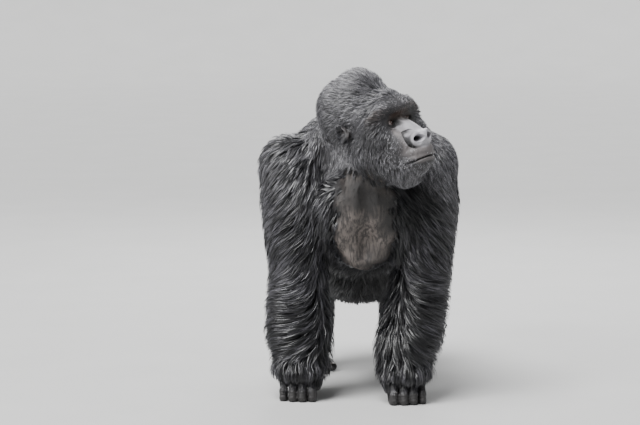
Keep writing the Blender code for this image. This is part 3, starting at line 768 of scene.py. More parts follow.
for side in (-1, 1):
    # Nostril, the groove round the wing of the nose, and the opening between the lids.
    press(local, (side * 0.0250, -0.222, -0.0610), (0.0205, 0.034, 0.0130), (0, 0.034, 0.005), 0.8)
    wing = arc(side, NOSE_WING, NOSE_WING_WIDTH, NOSE_WING_HEIGHT, 84, -62, -0.190, 60)
    press(local, wing, (0.0070, 0.050, 0.0070), (0, 0.0125, 0))
    hollow = (side * (EAR_PLACE.x + 0.012), EAR_PLACE.y - 0.003, EAR_PLACE.z + 0.003)
    press(local, hollow, (0.022, 0.0125, 0.0205), (side * -0.012, 0, 0), 1.1)
    opening = (side * EYE_PLACE.x, EYE_PLACE.y - EYE_RADIUS, EYE_PLACE.z)
    press(local, opening, (0.0184, 0.020, 0.0096), (0, 0.0145, 0), 0.6)
    # Folds: the lid's crease, two bags under the eye, and the fold from nose to cheek.
    eye_middle = (EYE_PLACE.x, EYE_PLACE.z)
    for wide, high, start, end, deep in (
        (0.0180, 0.0108, 160, 25, 0.0030),
        (0.0185, 0.0120, 200, 340, 0.0026),
        (0.0260, 0.0190, 205, 335, 0.0030),
        (0.0350, 0.0275, 212, 325, 0.0022),
    ):
        press(local, arc(side, eye_middle, wide, high, start, end), (0.005, 0.05, 0.0036), (0, deep, 0))
    share = np.linspace(0, 1, 30)
    fold = columns(side * (0.052 + 0.024 * share), -0.170 + 0.016 * share, -0.028 - 0.105 * share)
    deep = columns(0, 0.0042 * np.sin(np.pi * share), 0)
    press(local, fold, (0.0090, 0.050, 0.0100), deep)
# The mouth: a thin closed line across the muzzle, turned down at both corners.
angle = np.radians(np.linspace(-84, 84, 90))
line_height = MOUTH_CORNER + MOUTH_RISE * np.cos(angle)
mouth = columns(MOUTH_HALF_WIDTH * np.sin(angle), -0.150 - 0.072 * np.cos(angle), line_height)
press(local, mouth, (0.0060, 0.034, 0.0050), columns(0, 0.0095 * np.cos(angle) ** 0.3, 0))
wrinkles = random.Random(11)
for wrinkle in range(9):
    # Fine furrows down the upper lip, none the same.
    x = (wrinkle - 4 + wrinkles.uniform(-0.3, 0.3)) * 0.0115
    top = -0.098 - wrinkles.uniform(0, 0.006)
    z = np.linspace(top, top - wrinkles.uniform(0.010, 0.020), 12)
    line = columns(x * (1 - 3 * (z - top)), -0.205, z)
    press(local, line, (0.0034, 0.060, 0.0050), (0, wrinkles.uniform(0.0006, 0.0014), 0))
for x in (-0.010, 0.009):
    z = np.linspace(0.044, -0.008, 16)
    line = columns(x + 0.10 * (0.02 - z) * np.sign(x), -0.140, z)
    press(local, line, (0.0040, 0.060, 0.0060), (0, 0.0022, 0))
# The nose and lips stand well forward of the cheeks and of the chin.
ahead = soft_step(-local[:, 1], 0.150, 0.212) * soft_step(local[:, 2], -0.190, -0.160)
local[:, 1] -= MUZZLE_REACH * ahead
set_points(head.data, moved(local, HEAD_FRAME))
settle(head, "SMOOTH", factor=0.4, iterations=1)


def triangle_count(obj):
    return sum(len(face.vertices) - 2 for face in obj.data.polygons)


def thin_out(obj, triangles, keep=None):
    """Thins the mesh, and keeps more of it where keep is near 1."""
    settings = {"ratio": min(1.0, triangles / triangle_count(obj))}
    if keep is not None:
        group = obj.vertex_groups.new(name="keep")
        for level in range(1, 11):
            chosen = np.nonzero(np.round((1 - 0.92 * keep) * 10) == level)[0]
            group.add(chosen.tolist(), level / 10, "REPLACE")
        settings.update(vertex_group=group.name, vertex_group_factor=1.0)
    settle(obj, "DECIMATE", **settings)
    obj.vertex_groups.clear()
    return obj


fineness = fades(face_reach(in_head(points_of(head.data))), 0.9, 1.3)
thin_out(head, HEAD_TRIANGLES, fineness)


# Hands and feet: a fist that bears on the middle joints of four fingers, and a flat foot
# with the great toe set apart. Bare, hard, padded skin, one with the skin of the limb.
FINGER_THICKNESS = 0.0158
KNUCKLE_PITCH = 0.0355
TOE_PITCH = 0.0235
TOE_LENGTHS = (0.040, 0.050, 0.055, 0.052)


def hand_frame(side):
    wrist = ARM[side][-1]
    return Matrix.Translation((side * wrist[0], wrist[1], 0)) @ turned((0, 0, side * 8))


def foot_frame(side):
    return Matrix.Translation(ankle_place(side)) @ turned((0, 0, side * 10))


WRIST_HEIGHT = 0.150
ANKLE_HEIGHT = 0.092
LIMB_END_NORMAL = Vector((0, -0.25, -1)).normalized()
HAND_REACH = 0.15
FOOT_REACH = 0.13
END_VOXEL = 0.0030
END_TRIANGLES = 11000
ends = []


def limb_end(place, height, reach):
    """Cuts a hand or foot from the limb: where it was cut, and its clay."""
    spot = place.translation
    cut = (spot + Vector((0, 0, height)), LIMB_END_NORMAL)
    return (*cut, spot), clay_beyond(skin, *cut, spot, reach)


for side in (-1, 1):
    place = hand_frame(side)
    cut, fine = limb_end(place, WRIST_HEIGHT, HAND_REACH)
    mass(fine, (0, 0.000, 0.105), (0.072, 0.044, 0.060), place=place)
    mass(fine, (0, -0.012, 0.075), (0.070, 0.034, 0.034), place=place)
    for finger in range(4):
        x = side * (finger - 1.5) * KNUCKLE_PITCH
        reach = (0.000, 0.008, 0.006, -0.004)[finger]
        thick = FINGER_THICKNESS - 0.0015 * (finger == 3)
        curled = [
            (x, -0.004, 0.085, thick, thick),
            (0.98 * x, -0.034 - reach, 0.060, 0.88 * thick, 0.92 * thick),
            (x, -0.050 - reach, thick - 0.003, thick, thick),
            (x, -0.015 - reach, thick - 0.004, thick, 0.9 * thick),
            (x, 0.012, 0.036, 0.85 * thick, 0.8 * thick),
        ]
        limb(fine, curled, rings=16, sides=16, place=place)
        mass(fine, (x, -0.047 - reach, 0.034), (1.04 * thick, 1.06 * thick, 0.022), place=place)
        mass(fine, (x, -0.010, 0.094), (1.02 * thick, 1.05 * thick, 0.015), place=place)
    thumb = -side * 0.066
    curled = [
        (0.75 * thumb, 0.006, 0.120, 0.020, 0.020),
        (1.05 * thumb, -0.006, 0.078, 0.017, 0.017),
        (1.02 * thumb, -0.016, 0.046, 0.014, 0.014),
    ]
    limb(fine, curled, rings=10, sides=14, place=place)
    hand = shaped("hand skin", fine, END_VOXEL, 4)
    local = moved(points_of(hand.data), place.inverted())
    for finger in range(4):
        # Creases across the back of each finger, deepest over its middle joint.
        x = side * (finger - 1.5) * KNUCKLE_PITCH
        for height in (0.024, 0.034, 0.044, 0.068):
            across = np.linspace(-1, 1, 9) * 0.014
            line = [(x + a, -0.060, height - 20 * a**2) for a in across]
            press(local, line, (0.0060, 0.040, 0.0034), (0, 0.0018 + 0.0004 * finger, 0))
    set_points(hand.data, moved(local, place))
    ends.append((hand, *cut))
    place = foot_frame(side)
    cut, fine = limb_end(place, ANKLE_HEIGHT, FOOT_REACH)
    sole = [
        (0, 0.068, 0.030, 0.036, 0.036),
        (0, 0.020, 0.036, 0.042, 0.044),
        (0, -0.050, 0.034, 0.052, 0.038),
        (side * 0.008, -0.110, 0.024, 0.056, 0.028),
    ]
    limb(fine, sole, rings=16, sides=20, place=place)
    for toe in range(4):
        x, length = side * (2 * TOE_PITCH - TOE_PITCH * toe), TOE_LENGTHS[toe]
        bent = [
            (0.9 * x, -0.120, 0.020, 0.0135, 0.0150),
            (x, -0.130 - 0.5 * length, 0.019, 0.0135, 0.0150),
            (1.02 * x, -0.130 - length, 0.012, 0.0125, 0.0120),
        ]
        limb(fine, bent, rings=8, sides=14, place=place)
    great_toe = [
        (-side * 0.020, -0.035, 0.026, 0.026, 0.026),
        (-side * 0.056, -0.085, 0.022, 0.022, 0.022),
        (-side * 0.078, -0.130, 0.017, 0.0195, 0.0175),
    ]
    limb(fine, great_toe, rings=10, sides=16, place=place)
    ends.append((shaped("foot skin", fine, END_VOXEL, 4), *cut))
for piece, *_ in ends:
    thin_out(piece, END_TRIANGLES)
ends.append((head, NECK_SPOT, NECK_NORMAL, HEAD_PLACE))


# One skin: the parts are opened where they meet, joined rim to rim, and pressed flat
# where the animal bears on the floor.
TRUNK_TRIANGLES = 60000
LIMB_REACH = 0.16
HEAD_REACH = 0.30
RIM_STEP = 0.003
RIM_SLACK = 0.001

thin_out(skin, TRUNK_TRIANGLES)
whole = bmesh.new()
whole.from_mesh(skin.data)
for piece, point, normal, spot in ends:
    slice_off(whole, point, normal, spot, EVERYWHERE if piece is head else LIMB_REACH)
for piece, point, normal, spot in ends:
    shape = bmesh.new()
    shape.from_mesh(piece.data)
    slice_off(shape, point + normal * RIM_STEP, -normal)
    shape.to_mesh(piece.data)
    shape.free()
    whole.from_mesh(piece.data)
    bpy.data.objects.remove(piece)
rims = [edge for edge in whole.edges if edge.is_boundary]
for _, point, normal, spot in ends:
    chosen = []
    for edge in rims:
        middle = (edge.verts[0].co + edge.verts[1].co) / 2
        height = (middle - point).dot(normal)
        beside = (middle - spot).xy.length < HEAD_REACH
        if beside and -RIM_SLACK < height < RIM_STEP + RIM_SLACK:
            chosen.append(edge)
    bmesh.ops.bridge_loops(whole, edges=chosen)
bmesh.ops.triangulate(whole, faces=[f for f in whole.faces if len(f.verts) > 4])
bmesh.ops.recalc_face_normals(whole, faces=whole.faces[:])
for vert in whole.verts:
    vert.co.z = max(vert.co.z, 0.0)
whole.to_mesh(skin.data)
whole.free()
skin.data.shade_smooth()


# The coat: black guard hair in overlapping tufts, silver across a grown male's back,
# short on the head and limb ends, long and shaggy on the forearms, none on the bare face.
# Guide hairs are laid over the skin along the lie of the coat, and tufts gather on them.
GUIDE_STATIONS = 5
ROOT_SINK = 0.0018  # how deep the roots stand in the skin
LEAST_LIFT = 0.0035
FLOOR_GAP = 0.002
LENGTH_SPREAD = (0.72, 1.12)
WIDTH_SPREAD = (0.7, 1.3)
WIDTH_PROFILE = ([0, 0.25, 0.6, 1], [0.75, 1.0, 0.7, 0.0])  # from root to tip
MAP_EDGE = 0.002
MAP_SPAN = 0.992
TUFT_PATCH = 0.003  # a tuft's share of its piece's map

draws = np.random.default_rng(29)


def unit(vectors):
    return vectors / np.maximum(np.linalg.norm(vectors, axis=-1, keepdims=True), 1e-9)


def lie_of_coat(points, normals):
    """The way the hair points at each place, along the skin."""
    x, y, z = points.T
    side = np.sign(x - BODY_LEAN)
    flat = np.abs(normals[:, 0])
    front = soft_step(-normals[:, 1], 0.35, 0.85) * soft_step(-y, 0.20, 0.30)
    way = columns(0.15 * side, 1 - 1.1 * front, -0.85 * flat - 0.9 * front - 0.1)
    # Round the forearm the hair sags in the middle and rises again at the outer edge.
    outer = soft_step(np.abs(x - BODY_LEAN), 0.16, 0.30)
    inner = fades(np.abs(x - BODY_LEAN), 0.10, 0.21)
    sag = -0.62 + 0.50 * outer - 0.9 * inner - 0.55 * soft_step(flat, 0.45, 0.9) * outer
    around = columns((1.0 - 0.7 * inner) * side, 0.55 * (1 - inner), sag)
    arm = mixed(around, columns(0.72 * side, 0.22, -1.0), soft_step(z, 0.42, 0.52))
    arm = mixed(arm, np.array([0, -0.35, -1.0]), fades(z, 0.12, 0.20))
    shin = np.tile([0, 0.40, -1.0], (len(points), 1))
    shin = mixed(shin, np.array([0, -1.0, -0.35]), fades(z, 0.06, 0.10))
    way = mixed(mixed(way, arm, of_arm(points)), shin, of_leg(points))
    nape = columns(0.55 * side, 0.55, -0.65)
    nape = mixed(nape, columns(0.25 * side, 0, -1), soft_step(-normals[:, 1], 0.1, 0.5))
    of_neck = soft_step(z, 0.82, 0.90) * fades(y, -0.16, -0.06)
    way = mixed(way, nape, of_neck * (1 - of_arm(points)))
    # On the head it radiates from above the brows, and hangs straight from the cheeks.
    local = in_head(points)
    x, y, z = local.T
    head = unit(local - np.array([0, -0.150, 0.095])) + np.array([0, 0.15, -0.08])
    head = mixed(head, np.array([0, 0.12, -1.0]), soft_step(-z, 0.00, 0.09))
    head = mixed(head, np.array([0, 0.30, -1.0]), soft_step(y, 0.10, 0.17))
    brow = soft_step(-y, 0.085, 0.115) * soft_step(z, 0.005, 0.03)
    head = mixed(head, columns(9 * x, 0, 0.35), brow * fades(z, 0.075, 0.10))
    way = mixed(way, head @ np.array(HEAD_TURN).T, of_head(points))
    return unit(way - normals * (way * normals).sum(axis=1, keepdims=True))


HAIR_LENGTH = {
    "arm": ([0.04, 0.09, 0.13, 0.20, 0.30, 0.42, 0.55, 0.75, 0.95],
            [0.012, 0.028, 0.058, 0.088, 0.105, 0.105, 0.085, 0.072, 0.065]),
    "leg": ([0.05, 0.09, 0.14, 0.22, 0.36, 0.55],
            [0.010, 0.018, 0.036, 0.055, 0.065, 0.060]),
}


def mouth_line(x):
    """The height of the closed lips' line across the muzzle."""
    return MOUTH_RISE * np.sqrt(np.clip(1 - (x / MOUTH_HALF_WIDTH) ** 2, 0, 1)) + MOUTH_CORNER


def below_lip(local):
    """1 under the lower lip, where the beard starts."""
    return soft_step(mouth_line(local[:, 0]) - local[:, 2], 0.011, 0.019)


def hair_length(points):
    """The tufts' length, in metres."""
    length = by_limb(0.066 - 0.026 * of_back(points), HAIR_LENGTH, points)
    length *= 1 - 0.75 * of_chest(points)
    local = in_head(points)
    reach = face_reach(local)
    on_head = 0.005 + 0.026 * soft_step(reach, 0.95, 2.0)
    on_head += 0.014 * soft_step(-local[:, 2], 0.10, 0.19) * soft_step(reach, 1.1, 1.5)
    on_head += 0.006 * below_lip(local) + 0.005 * fades(reach, 0.95, 1.10)
    return mixed(length, on_head, of_head(points))


def band(value, start, full, fading, end):
    """1 from full to fading, and 0 before the start and after the end."""
    return soft_step(value, start, full) * fades(value, fading, end)


def of_throat(points):
    """1 on the throat and the sides of the neck, which lie in the shade of the jaw."""
    x, y, z = in_head(points).T
    close = fades(np.hypot(x, y + 0.02), 0.15, 0.22)
    return close * band(-z, 0.09, 0.15, 0.30, 0.42) * (1 - of_head(points))


def of_silver(points):
    """1 on the silver saddle, with grey on the nape, below the ears, round the face and on the thighs, and
    a painted sheen of the light from above on the crown, the brow's ridge and the tops of the shoulders.
    """
    x, y, z = points.T
    sides = 0.60 + 0.10 * np.sin(7 * y)
    saddle = soft_step(y, -0.06, 0.14) * soft_step(z, sides - 0.10, sides + 0.10)
    thigh = 0.45 * soft_step(y, 0.18, 0.36) * soft_step(z, 0.30, 0.50)
    # Painted sheen: the tops of the shoulders are greyed where the light from above catches them.
    shoulder = 0.16 * soft_step(z, 0.62, 0.86) * soft_step(-y, -0.05, 0.10)
    shoulder *= 1 - np.maximum(of_chest(points), of_throat(points))
    local = in_head(points)
    x, y, z = local.T
    nape = 0.62 * soft_step(y, 0.02, 0.09) * soft_step(-z, 0.00, 0.06)
    nape *= fades(np.hypot(x, y - 0.03), 0.16, 0.23)
    nape *= fades(-z, 0.10, 0.16)
    # Painted sheen: the crown and the top of the brow's ridge are greyed where the light from above catches
    # them.
    crown = 0.44 * soft_step(z, 0.065, 0.21)
    ridge = 0.42 * band(z, 0.052, 0.066, 0.080, 0.100) * soft_step(-y, 0.09, 0.13)
    crown = np.maximum(crown, ridge)
    wisps = np.exp(-(((y - 0.045) / 0.035) ** 2) - ((z + 0.060) / 0.050) ** 2)
    wisps *= 0.60 * soft_step(np.abs(x), 0.05, 0.08)
    down = 0.34 * fades(face_reach(local), 0.85, 1.10) * soft_step(-z, 0.0, 0.01)
    down *= 1 - below_lip(local)
    nape = np.maximum.reduce([nape, wisps, down * of_head(points)])
    return np.maximum.reduce([saddle * (1 - 0.9 * of_arm(points)), thigh, nape, crown, shoulder])


def of_brown(points):
    """1 where the hair and skin are brown: under the brow and on the forehead."""
    _, y, z = in_head(points).T
    return band(z, 0.008, 0.035, 0.052, 0.070) * soft_step(-y, 0.095, 0.125) * of_head(points)


def off_spot(x, z, spot, radii):
    """1 on an ellipse round a spot of the face and its twin, less inside, more outside."""
    return np.hypot((np.abs(x) - spot[0]) / radii[0], (z - spot[1]) / radii[1])


def of_socket(points):
    """1 round the eyes under the brow, where hide and hair are painted black as shade."""
    x, y, z = in_head(points).T
    high = z - 0.10 * (np.abs(x) - EYE_PLACE.x)
    corner = fades(off_spot(x, z, (0.062, 0.006), (0.020, 0.022)), 0.5, 1.1)
    dark = np.maximum(band(high, 0.004, 0.014, 0.028, 0.044), corner) * fades(np.abs(x), 0.070, 0.092)
    return dark * soft_step(-y, 0.080, 0.105) * of_head(points)


def of_ear(local):
    """1 on the ears."""
    ear = np.zeros(len(local))
    for side in (-1, 1):
        apart = np.linalg.norm((local - np.array(both(side, EAR_PLACE))) * [0.8, 1, 0.70], axis=1)
        ear = np.maximum(ear, fades(apart, 0.018, 0.024))
    return ear


def of_bare(points):
    """1 where the skin shows: face, ears, palms, soles, fingers and toes."""
    local = in_head(points)
    x, y, z = local.T
    face = of_head(points) * fades(face_reach(local), 0.88, 1.14) * (1 - below_lip(local))
    eye = off_spot(x, z, (EYE_PLACE.x, EYE_PLACE.z), (0.030, 0.017))
    face = np.maximum(face, fades(eye, 0.85, 1.15) * soft_step(-y, 0.06, 0.09))
    return np.maximum.reduce([face, of_ear(local), fades(points[:, 2], 0.036, 0.064)])


def of_belly(points):
    """1 on the belly between the limbs, where hardly any light comes."""
    x, _, z = points.T
    low = band(z, 0.26, 0.30, 0.44, 0.56)
    return low * fades(np.abs(x - BODY_LEAN), 0.11, 0.15) * (1 - of_leg(points))


mesh = skin.data
mesh.calc_loop_triangles()
corners = np.empty(len(mesh.loop_triangles) * 3, np.int32)
mesh.loop_triangles.foreach_get("vertices", corners)
corners = corners.reshape(-1, 3)
skin_points = points_of(mesh)
skin_normals = normals_of(mesh)
one, two, three = (skin_points[corners[:, k]] for k in range(3))
areas = np.linalg.norm(np.cross(two - one, three - one), axis=1)
skin_tree = KDTree(len(skin_points))
for index, point in enumerate(skin_points):
    skin_tree.insert(point, index)
skin_tree.balance()


CELL_STRIDE = 4001  # more than the cells in any direction


def scattered(cell, tries):
    """Places spread evenly over the skin, about one to each cell of that size."""
    face = draws.choice(len(areas), tries, p=areas / areas.sum())
    one, two = draws.random(tries), draws.random(tries)
    flip = one + two > 1
    one[flip], two[flip] = 1 - one[flip], 1 - two[flip]
    shares = np.stack([1 - one - two, one, two], axis=1)[:, :, None]
    points = (skin_points[corners[face]] * shares).sum(axis=1)
    normals = unit((skin_normals[corners[face]] * shares).sum(axis=1))
    cells = np.floor(points / cell).astype(np.int64)
    keys = (cells[:, 0] * CELL_STRIDE + cells[:, 1]) * CELL_STRIDE + cells[:, 2]
    first = np.unique(keys, return_index=True)[1]
    return points[first], normals[first]


def on_skin(points):
    """The nearest place of the skin to each point, and its normal."""
    found = np.array([skin_tree.find(point)[1] for point in points])
    normals = skin_normals[found]
    lift = ((points - skin_points[found]) * normals).sum(axis=1, keepdims=True)
    return points - normals * lift, normals


def lay_guides(points, normals):
    """Guide hairs that run over the skin from their roots, as arrays by station."""
    length = hair_length(points)
    calm = 1 - 0.72 * of_head(points)
    drawn = unit(draws.normal(size=points.shape)) * calm[:, None]
    wave = 0.13 * np.sin(23 * points[:, 2] + 17 * points[:, 0]) + 0.09 * np.sin(41 * points[:, 1])
    wave *= calm
    places, outs, ways = [points], [normals], []
    for station in range(GUIDE_STATIONS):
        way = lie_of_coat(places[-1], outs[-1])
        across = np.cross(outs[-1], way)
        way = unit(way + across * wave[:, None] + 0.16 * drawn)
        ways.append(way)
        if station == GUIDE_STATIONS - 1:
            break
        step = places[-1] + way * (length / (GUIDE_STATIONS - 1))[:, None]
        place, out = on_skin(step)
        places.append(place)
        outs.append(unit(out + 0.5 * outs[-1]))
    return np.stack(places, 1), np.stack(outs, 1), np.stack(ways, 1)


def read_at(stations, share):
    """The guides' values at shares along them, which may run past the end."""
    where = share * (GUIDE_STATIONS - 1)
    first = np.clip(where.astype(int), 0, GUIDE_STATIONS - 2)
    rest = (where - first)[..., None]
    rows = np.arange(len(stations)).reshape((-1,) + (1,) * (share.ndim - 1))
    return stations[rows, first] * (1 - rest) + stations[rows, first + 1] * rest


def tufts(guides, per_guide, spread, width, steps, folded, gather, height=(0.50, 1.20)):
    """Tapered tufts round each guide: their points by station, and each tuft's guide."""
    places, outs, ways = (np.repeat(part, per_guide, axis=0) for part in guides)
    count = len(places)
    owner = np.repeat(np.arange(len(guides[0])), per_guide)
    share = np.linspace(0, 1, steps + 1)[None] * draws.uniform(*LENGTH_SPREAD, (count, 1))
    place, out, way = (read_at(part, share) for part in (places, outs, ways))
    side = unit(np.cross(out, way))
    depth = coat_depth(places[:, 0]) * draws.uniform(*height, count)
    angle = draws.uniform(0, 2 * np.pi, count)
    away = spread * np.sqrt(draws.random(count))
    closing = 1 - gather * np.clip(share, 0, 1)
    rise = np.maximum(depth, LEAST_LIFT)[:, None] * (1 - (1 - np.clip(share, 0, 1)) ** 1.7) - ROOT_SINK
    bend = draws.normal(0, 0.05, count)[:, None] * share**2 * hair_length(places[:, 0])[:, None]
    line = place + out * rise[..., None]
    line += side * ((away * np.sin(angle))[:, None] * closing + bend)[..., None]
    line += way * ((away * np.cos(angle))[:, None] * closing)[..., None]
    line[..., 2] = np.maximum(line[..., 2], FLOOR_GAP)
    roll = draws.normal(0, 0.55, count)[:, None, None]
    edge = side * np.cos(roll) + out * np.sin(roll)
    ridge = out * np.cos(roll) - side * np.sin(roll)
    shape = np.interp(np.linspace(0, 1, steps + 1), *WIDTH_PROFILE)
    half_width = (width * draws.uniform(*WIDTH_SPREAD, count))[:, None, None] * shape[None, :, None] / 2
    rows = [line - edge * half_width, line + edge * half_width]
    if folded:
        rows.insert(1, line + ridge * half_width * 0.8)
    return np.stack(rows, axis=2), owner


def in_shade(roots):
    """How much shade each root lies in, such as that of the jaw, the belly or an arm."""
    x, _, z = roots.T
    inside = fades(np.abs(x - BODY_LEAN), 0.13, 0.21)
    inside *= of_arm(roots) * fades(z, 0.40, 0.52) * soft_step(z, 0.10, 0.20)
    shaded = [of_throat(roots), of_chest(roots), 1.3 * of_socket(roots), 1.3 * of_belly(roots), inside]
    shaded.append(0.30 * (of_arm(roots) * fades(z, 0.28, 0.45)))
    x, _, z = in_head(roots).T
    temple = soft_step(np.abs(x), 0.080, 0.112) * fades(z, 0.02, 0.07)
    shaded.append(0.55 * (temple * (soft_step(z, -0.10, -0.05) * of_head(roots))))
    return np.maximum.reduce(shaded)


def carry(mesh, **facts):
    """Writes facts on the mesh's points, for its material to read."""
    for fact, value in facts.items():
        values = value.astype(np.float32)
        mesh.attributes.new(fact, "FLOAT", "POINT").data.foreach_set("value", values)


def tuft_mesh(name, groups, roots, unwrap, look):
    """Joins groups of tufts in one mesh, with their colours' facts and the OFBake map."""
    points, loops, starts, maps, facts = [], [], [], [], []
    fine = of_head(roots)
    clumps = draws.random(len(roots)) * (0.66 - 0.30 * fine)
    shaded = in_shade(roots)
    jaw = fades(in_head(roots)[:, 2], -0.08, -0.02) * fine
    offset = loop_offset = 0
    for rows, owner in groups:
        count, stations, wide, _ = rows.shape
        steps = stations - 1
        body = rows[:, :steps].reshape(count, -1, 3)
        tip = rows[:, steps, :1]
        per_tuft = steps * wide + 1
        points.append(np.concatenate([body, tip], axis=1).reshape(-1, 3))
        pattern, sizes = [], []
        for step in range(steps):
            for lane in range(wide - 1):
                low = step * wide + lane
                if step < steps - 1:
                    pattern += [low, low + 1, low + wide + 1, low + wide]
                    sizes.append(4)
                else:
                    pattern += [low, low + 1, steps * wide]
                    sizes.append(3)
        pattern = np.array(pattern)
        first = offset + np.arange(count)[:, None] * per_tuft
        loops.append((pattern[None] + first).ravel())
        begin = np.concatenate([[0], np.cumsum(sizes)[:-1]])
        starts.append((begin[None] + loop_offset + np.arange(count)[:, None] * len(pattern)).ravel())
        along = np.append(np.repeat(np.arange(steps) / steps, wide), 1.0)
        across = np.append(np.tile(np.arange(wide) / (wide - 1), steps), 0.5)
        patch = unwrap[owner][:, None] + TUFT_PATCH * columns(across, along)[pattern][None]
        maps.append(patch.reshape(-1, 2))
        tone = clumps[owner] + (0.34 + 0.30 * fine[owner]) * draws.random(count)
        tone = 0.5 + (tone - 0.5) * (1 + 0.40 * fine[owner] + 0.90 * jaw[owner])
        # The broad under-locks lie in the shade of the rest.
        tone *= (0.30 if wide == 3 else 1.0) * (1 - 0.60 * shaded[owner])
        tone = np.repeat(tone, per_tuft)
        # Short hair on the head gets little of the painted shade at its roots.
        along = np.tile(along, count) + np.repeat(0.30 * fine[owner], per_tuft)
        facts.append(columns(np.repeat(owner, per_tuft), tone, along))
        offset += count * per_tuft
        loop_offset += count * len(pattern)
    parts = (points, loops, starts, maps, facts)
    points, loops, starts, maps, facts = (np.concatenate(part) for part in parts)
    mesh = bpy.data.meshes.new(name)
    mesh.vertices.add(len(points))
    mesh.vertices.foreach_set("co", points.astype(np.float32).ravel())
    mesh.loops.add(len(loops))
    mesh.loops.foreach_set("vertex_index", loops.astype(np.int32))
    mesh.polygons.add(len(starts))
    mesh.polygons.foreach_set("loop_start", starts.astype(np.int32))
    mesh.update(calc_edges=True)
    mesh.uv_layers.new(name="OFBake").uv.foreach_set("vector", maps.astype(np.float32).ravel())
    owner, tone, along = facts.T
    owner = owner.astype(int)
    carry(mesh, silver=of_silver(roots)[owner], brown=of_brown(roots)[owner], tone=tone, along=along)
    mesh.shade_smooth()
    mesh.materials.append(look)
    piece = bpy.data.objects.new(name, mesh)
    bpy.context.scene.collection.objects.link(piece)
    return piece


def facts_of(look, *names):
    """Facts that the mesh carries, as values."""
    return [look.node("Attribute", {"attribute_name": name})[2] for name in names]


coat_look, shader, place = new_look("coat hair")
silver, brown, tone, along = facts_of(place, "silver", "brown", "tone", "along")
# Each tuft's own random tone, darkened by painted shade on the under-locks and under the jaw, belly, brow
# and arms.
tone_and_shade_level = tone.steps(0.22, 0.95)
black = tone_and_shade_level.between((0.0018, 0.0018, 0.0024, 1), (0.1300, 0.1265, 0.1430, 1))
grey = tone_and_shade_level.between((0.130, 0.128, 0.136, 1), (0.560, 0.555, 0.575, 1))
umber = tone_and_shade_level.between((0.012, 0.0070, 0.0050, 1), (0.110, 0.066, 0.046, 1))
dark = (brown * 0.8).between(black, umber)
# The grey share: silver hair, and the painted sheen on the crown, the brow's ridge and the shoulders.
share = (silver * 1.15 + (tone - 0.5) * 0.6 * silver).held()
colour = share.between(dark, grey)
# Painted shade: each tuft darkens towards its root, deep among the other hairs.
root = (0.18 + along * 1.1).held()
shaded = root.between((0.002, 0.002, 0.0025, 1), colour)
feed(shader, Base_Color=shaded, Roughness=0.38, Specular_IOR_Level=0.52)
feed(shader, Sheen_Weight=0.12, Sheen_Roughness=0.4, Sheen_Tint=(0.84, 0.87, 1.0, 1))


def wrapped(points, region):
    """An unwrap of the skin's own shape: round the limb, the trunk or the skull."""
    x, y, z = points.T
    if region == "head":
        x, y, z = in_head(points).T
        turn = np.arctan2(x, -(y - 0.02))
        rise = np.arctan2(z + 0.02, np.hypot(x, y - 0.02)) / np.pi + 0.5
    elif region == "trunk":
        turn, rise = np.arctan2(x - BODY_LEAN, z - 0.62), y + 0.5
    else:
        side = 1 if x.mean() > BODY_LEAN else -1
        middle = (BODY_LEAN + side * 0.16, 0.31)
        if region == "arm":
            rows = np.array(ARM[side])[::-1]
            middle = [np.interp(z, rows[:, 2], rows[:, k] * sign) for k, sign in ((0, side), (1, 1))]
        turn, rise = np.arctan2(x - middle[0], y - middle[1]), z
    flat = columns(turn / (2 * np.pi) + 0.5, rise)
    low, high = flat.min(axis=0), flat.max(axis=0)
    return MAP_EDGE + MAP_SPAN * (flat - low) / (high - low)


FLANK_TOP = 0.70
MANTLE_END = -0.10
ELBOW_HEIGHT = 0.46


def region_of(points):
    """Which piece of the coat each root belongs to."""
    x, y, z = points.T
    halves = {"right": x < BODY_LEAN, "left": x >= BODY_LEAN}
    arm, leg, head = (share(points) > 0.5 for share in (of_arm, of_leg, of_head))
    names = np.full(len(points), "coat_back", dtype=object)
    for word, here in halves.items():
        names[(z < FLANK_TOP) & here] = f"coat_flank_{word}"
    names[(z >= FLANK_TOP) & (y < MANTLE_END)] = "coat_mantle"
    low = z < ELBOW_HEIGHT
    for part, chosen in (("forearm", arm & low), ("leg", leg), ("upper_arm", arm & ~low)):
        for word, here in halves.items():
            names[chosen & here] = f"coat_{part}_{word}"
    x, y, z = in_head(points).T
    for word, here in (("right", x < 0), ("left", x >= 0)):
        names[head & here] = f"coat_jaw_{word}"
    names[head & (z > -0.030)] = "coat_face"
    names[head & (z > -0.030) & (y > 0.045)] = "coat_head"
    names[head & (z > 0.070)] = "coat_crown"
    return names


def of_nose(points):
    """1 on the nose pad and its bridge, where the skin is glossiest and a painted reflection of the light
    from above makes it pale.
    """
    x, y, z = in_head(points).T
    pad = fades(off_spot(x, z, (0, -0.062), (0.054, 0.034)), 0.75, 1.15) * soft_step(-y, 0.160, 0.195)
    bridge = fades(np.abs(x), 0.022, 0.048) * soft_step(-y, 0.11, 0.13)
    bridge *= soft_step(-z, -0.020, 0.010) * fades(-z, 0.06, 0.09)
    return np.maximum(pad, 0.60 * bridge) * of_head(points)


GRADES = {
    # name: cell size, tries, and by layer: tufts by guide, spread, width, steps, fold, gather
    "long": (0.0170, 90000, ((12, 0.0135, 0.0021, 4, False, 0.55), (1, 0.008, 0.011, 3, True, 0.2))),
    "head": (0.0074, 400000, ((9, 0.0048, 0.0011, 3, False, 0.36), (1, 0.004, 0.005, 2, True, 0.2))),
    "short": (0.0075, 380000, ((4, 0.0055, 0.0012, 2, False, 0.20),)),
}


SHORT_HAIR = 0.022


def grade_of(points):
    """How fine the coat is: long on the body, finer on the head, short at bare places."""
    grades = np.full(len(points), "long", dtype=object)
    grades[of_head(points) > 0.5] = "head"
    grades[hair_length(points) <= SHORT_HAIR] = "short"
    return grades


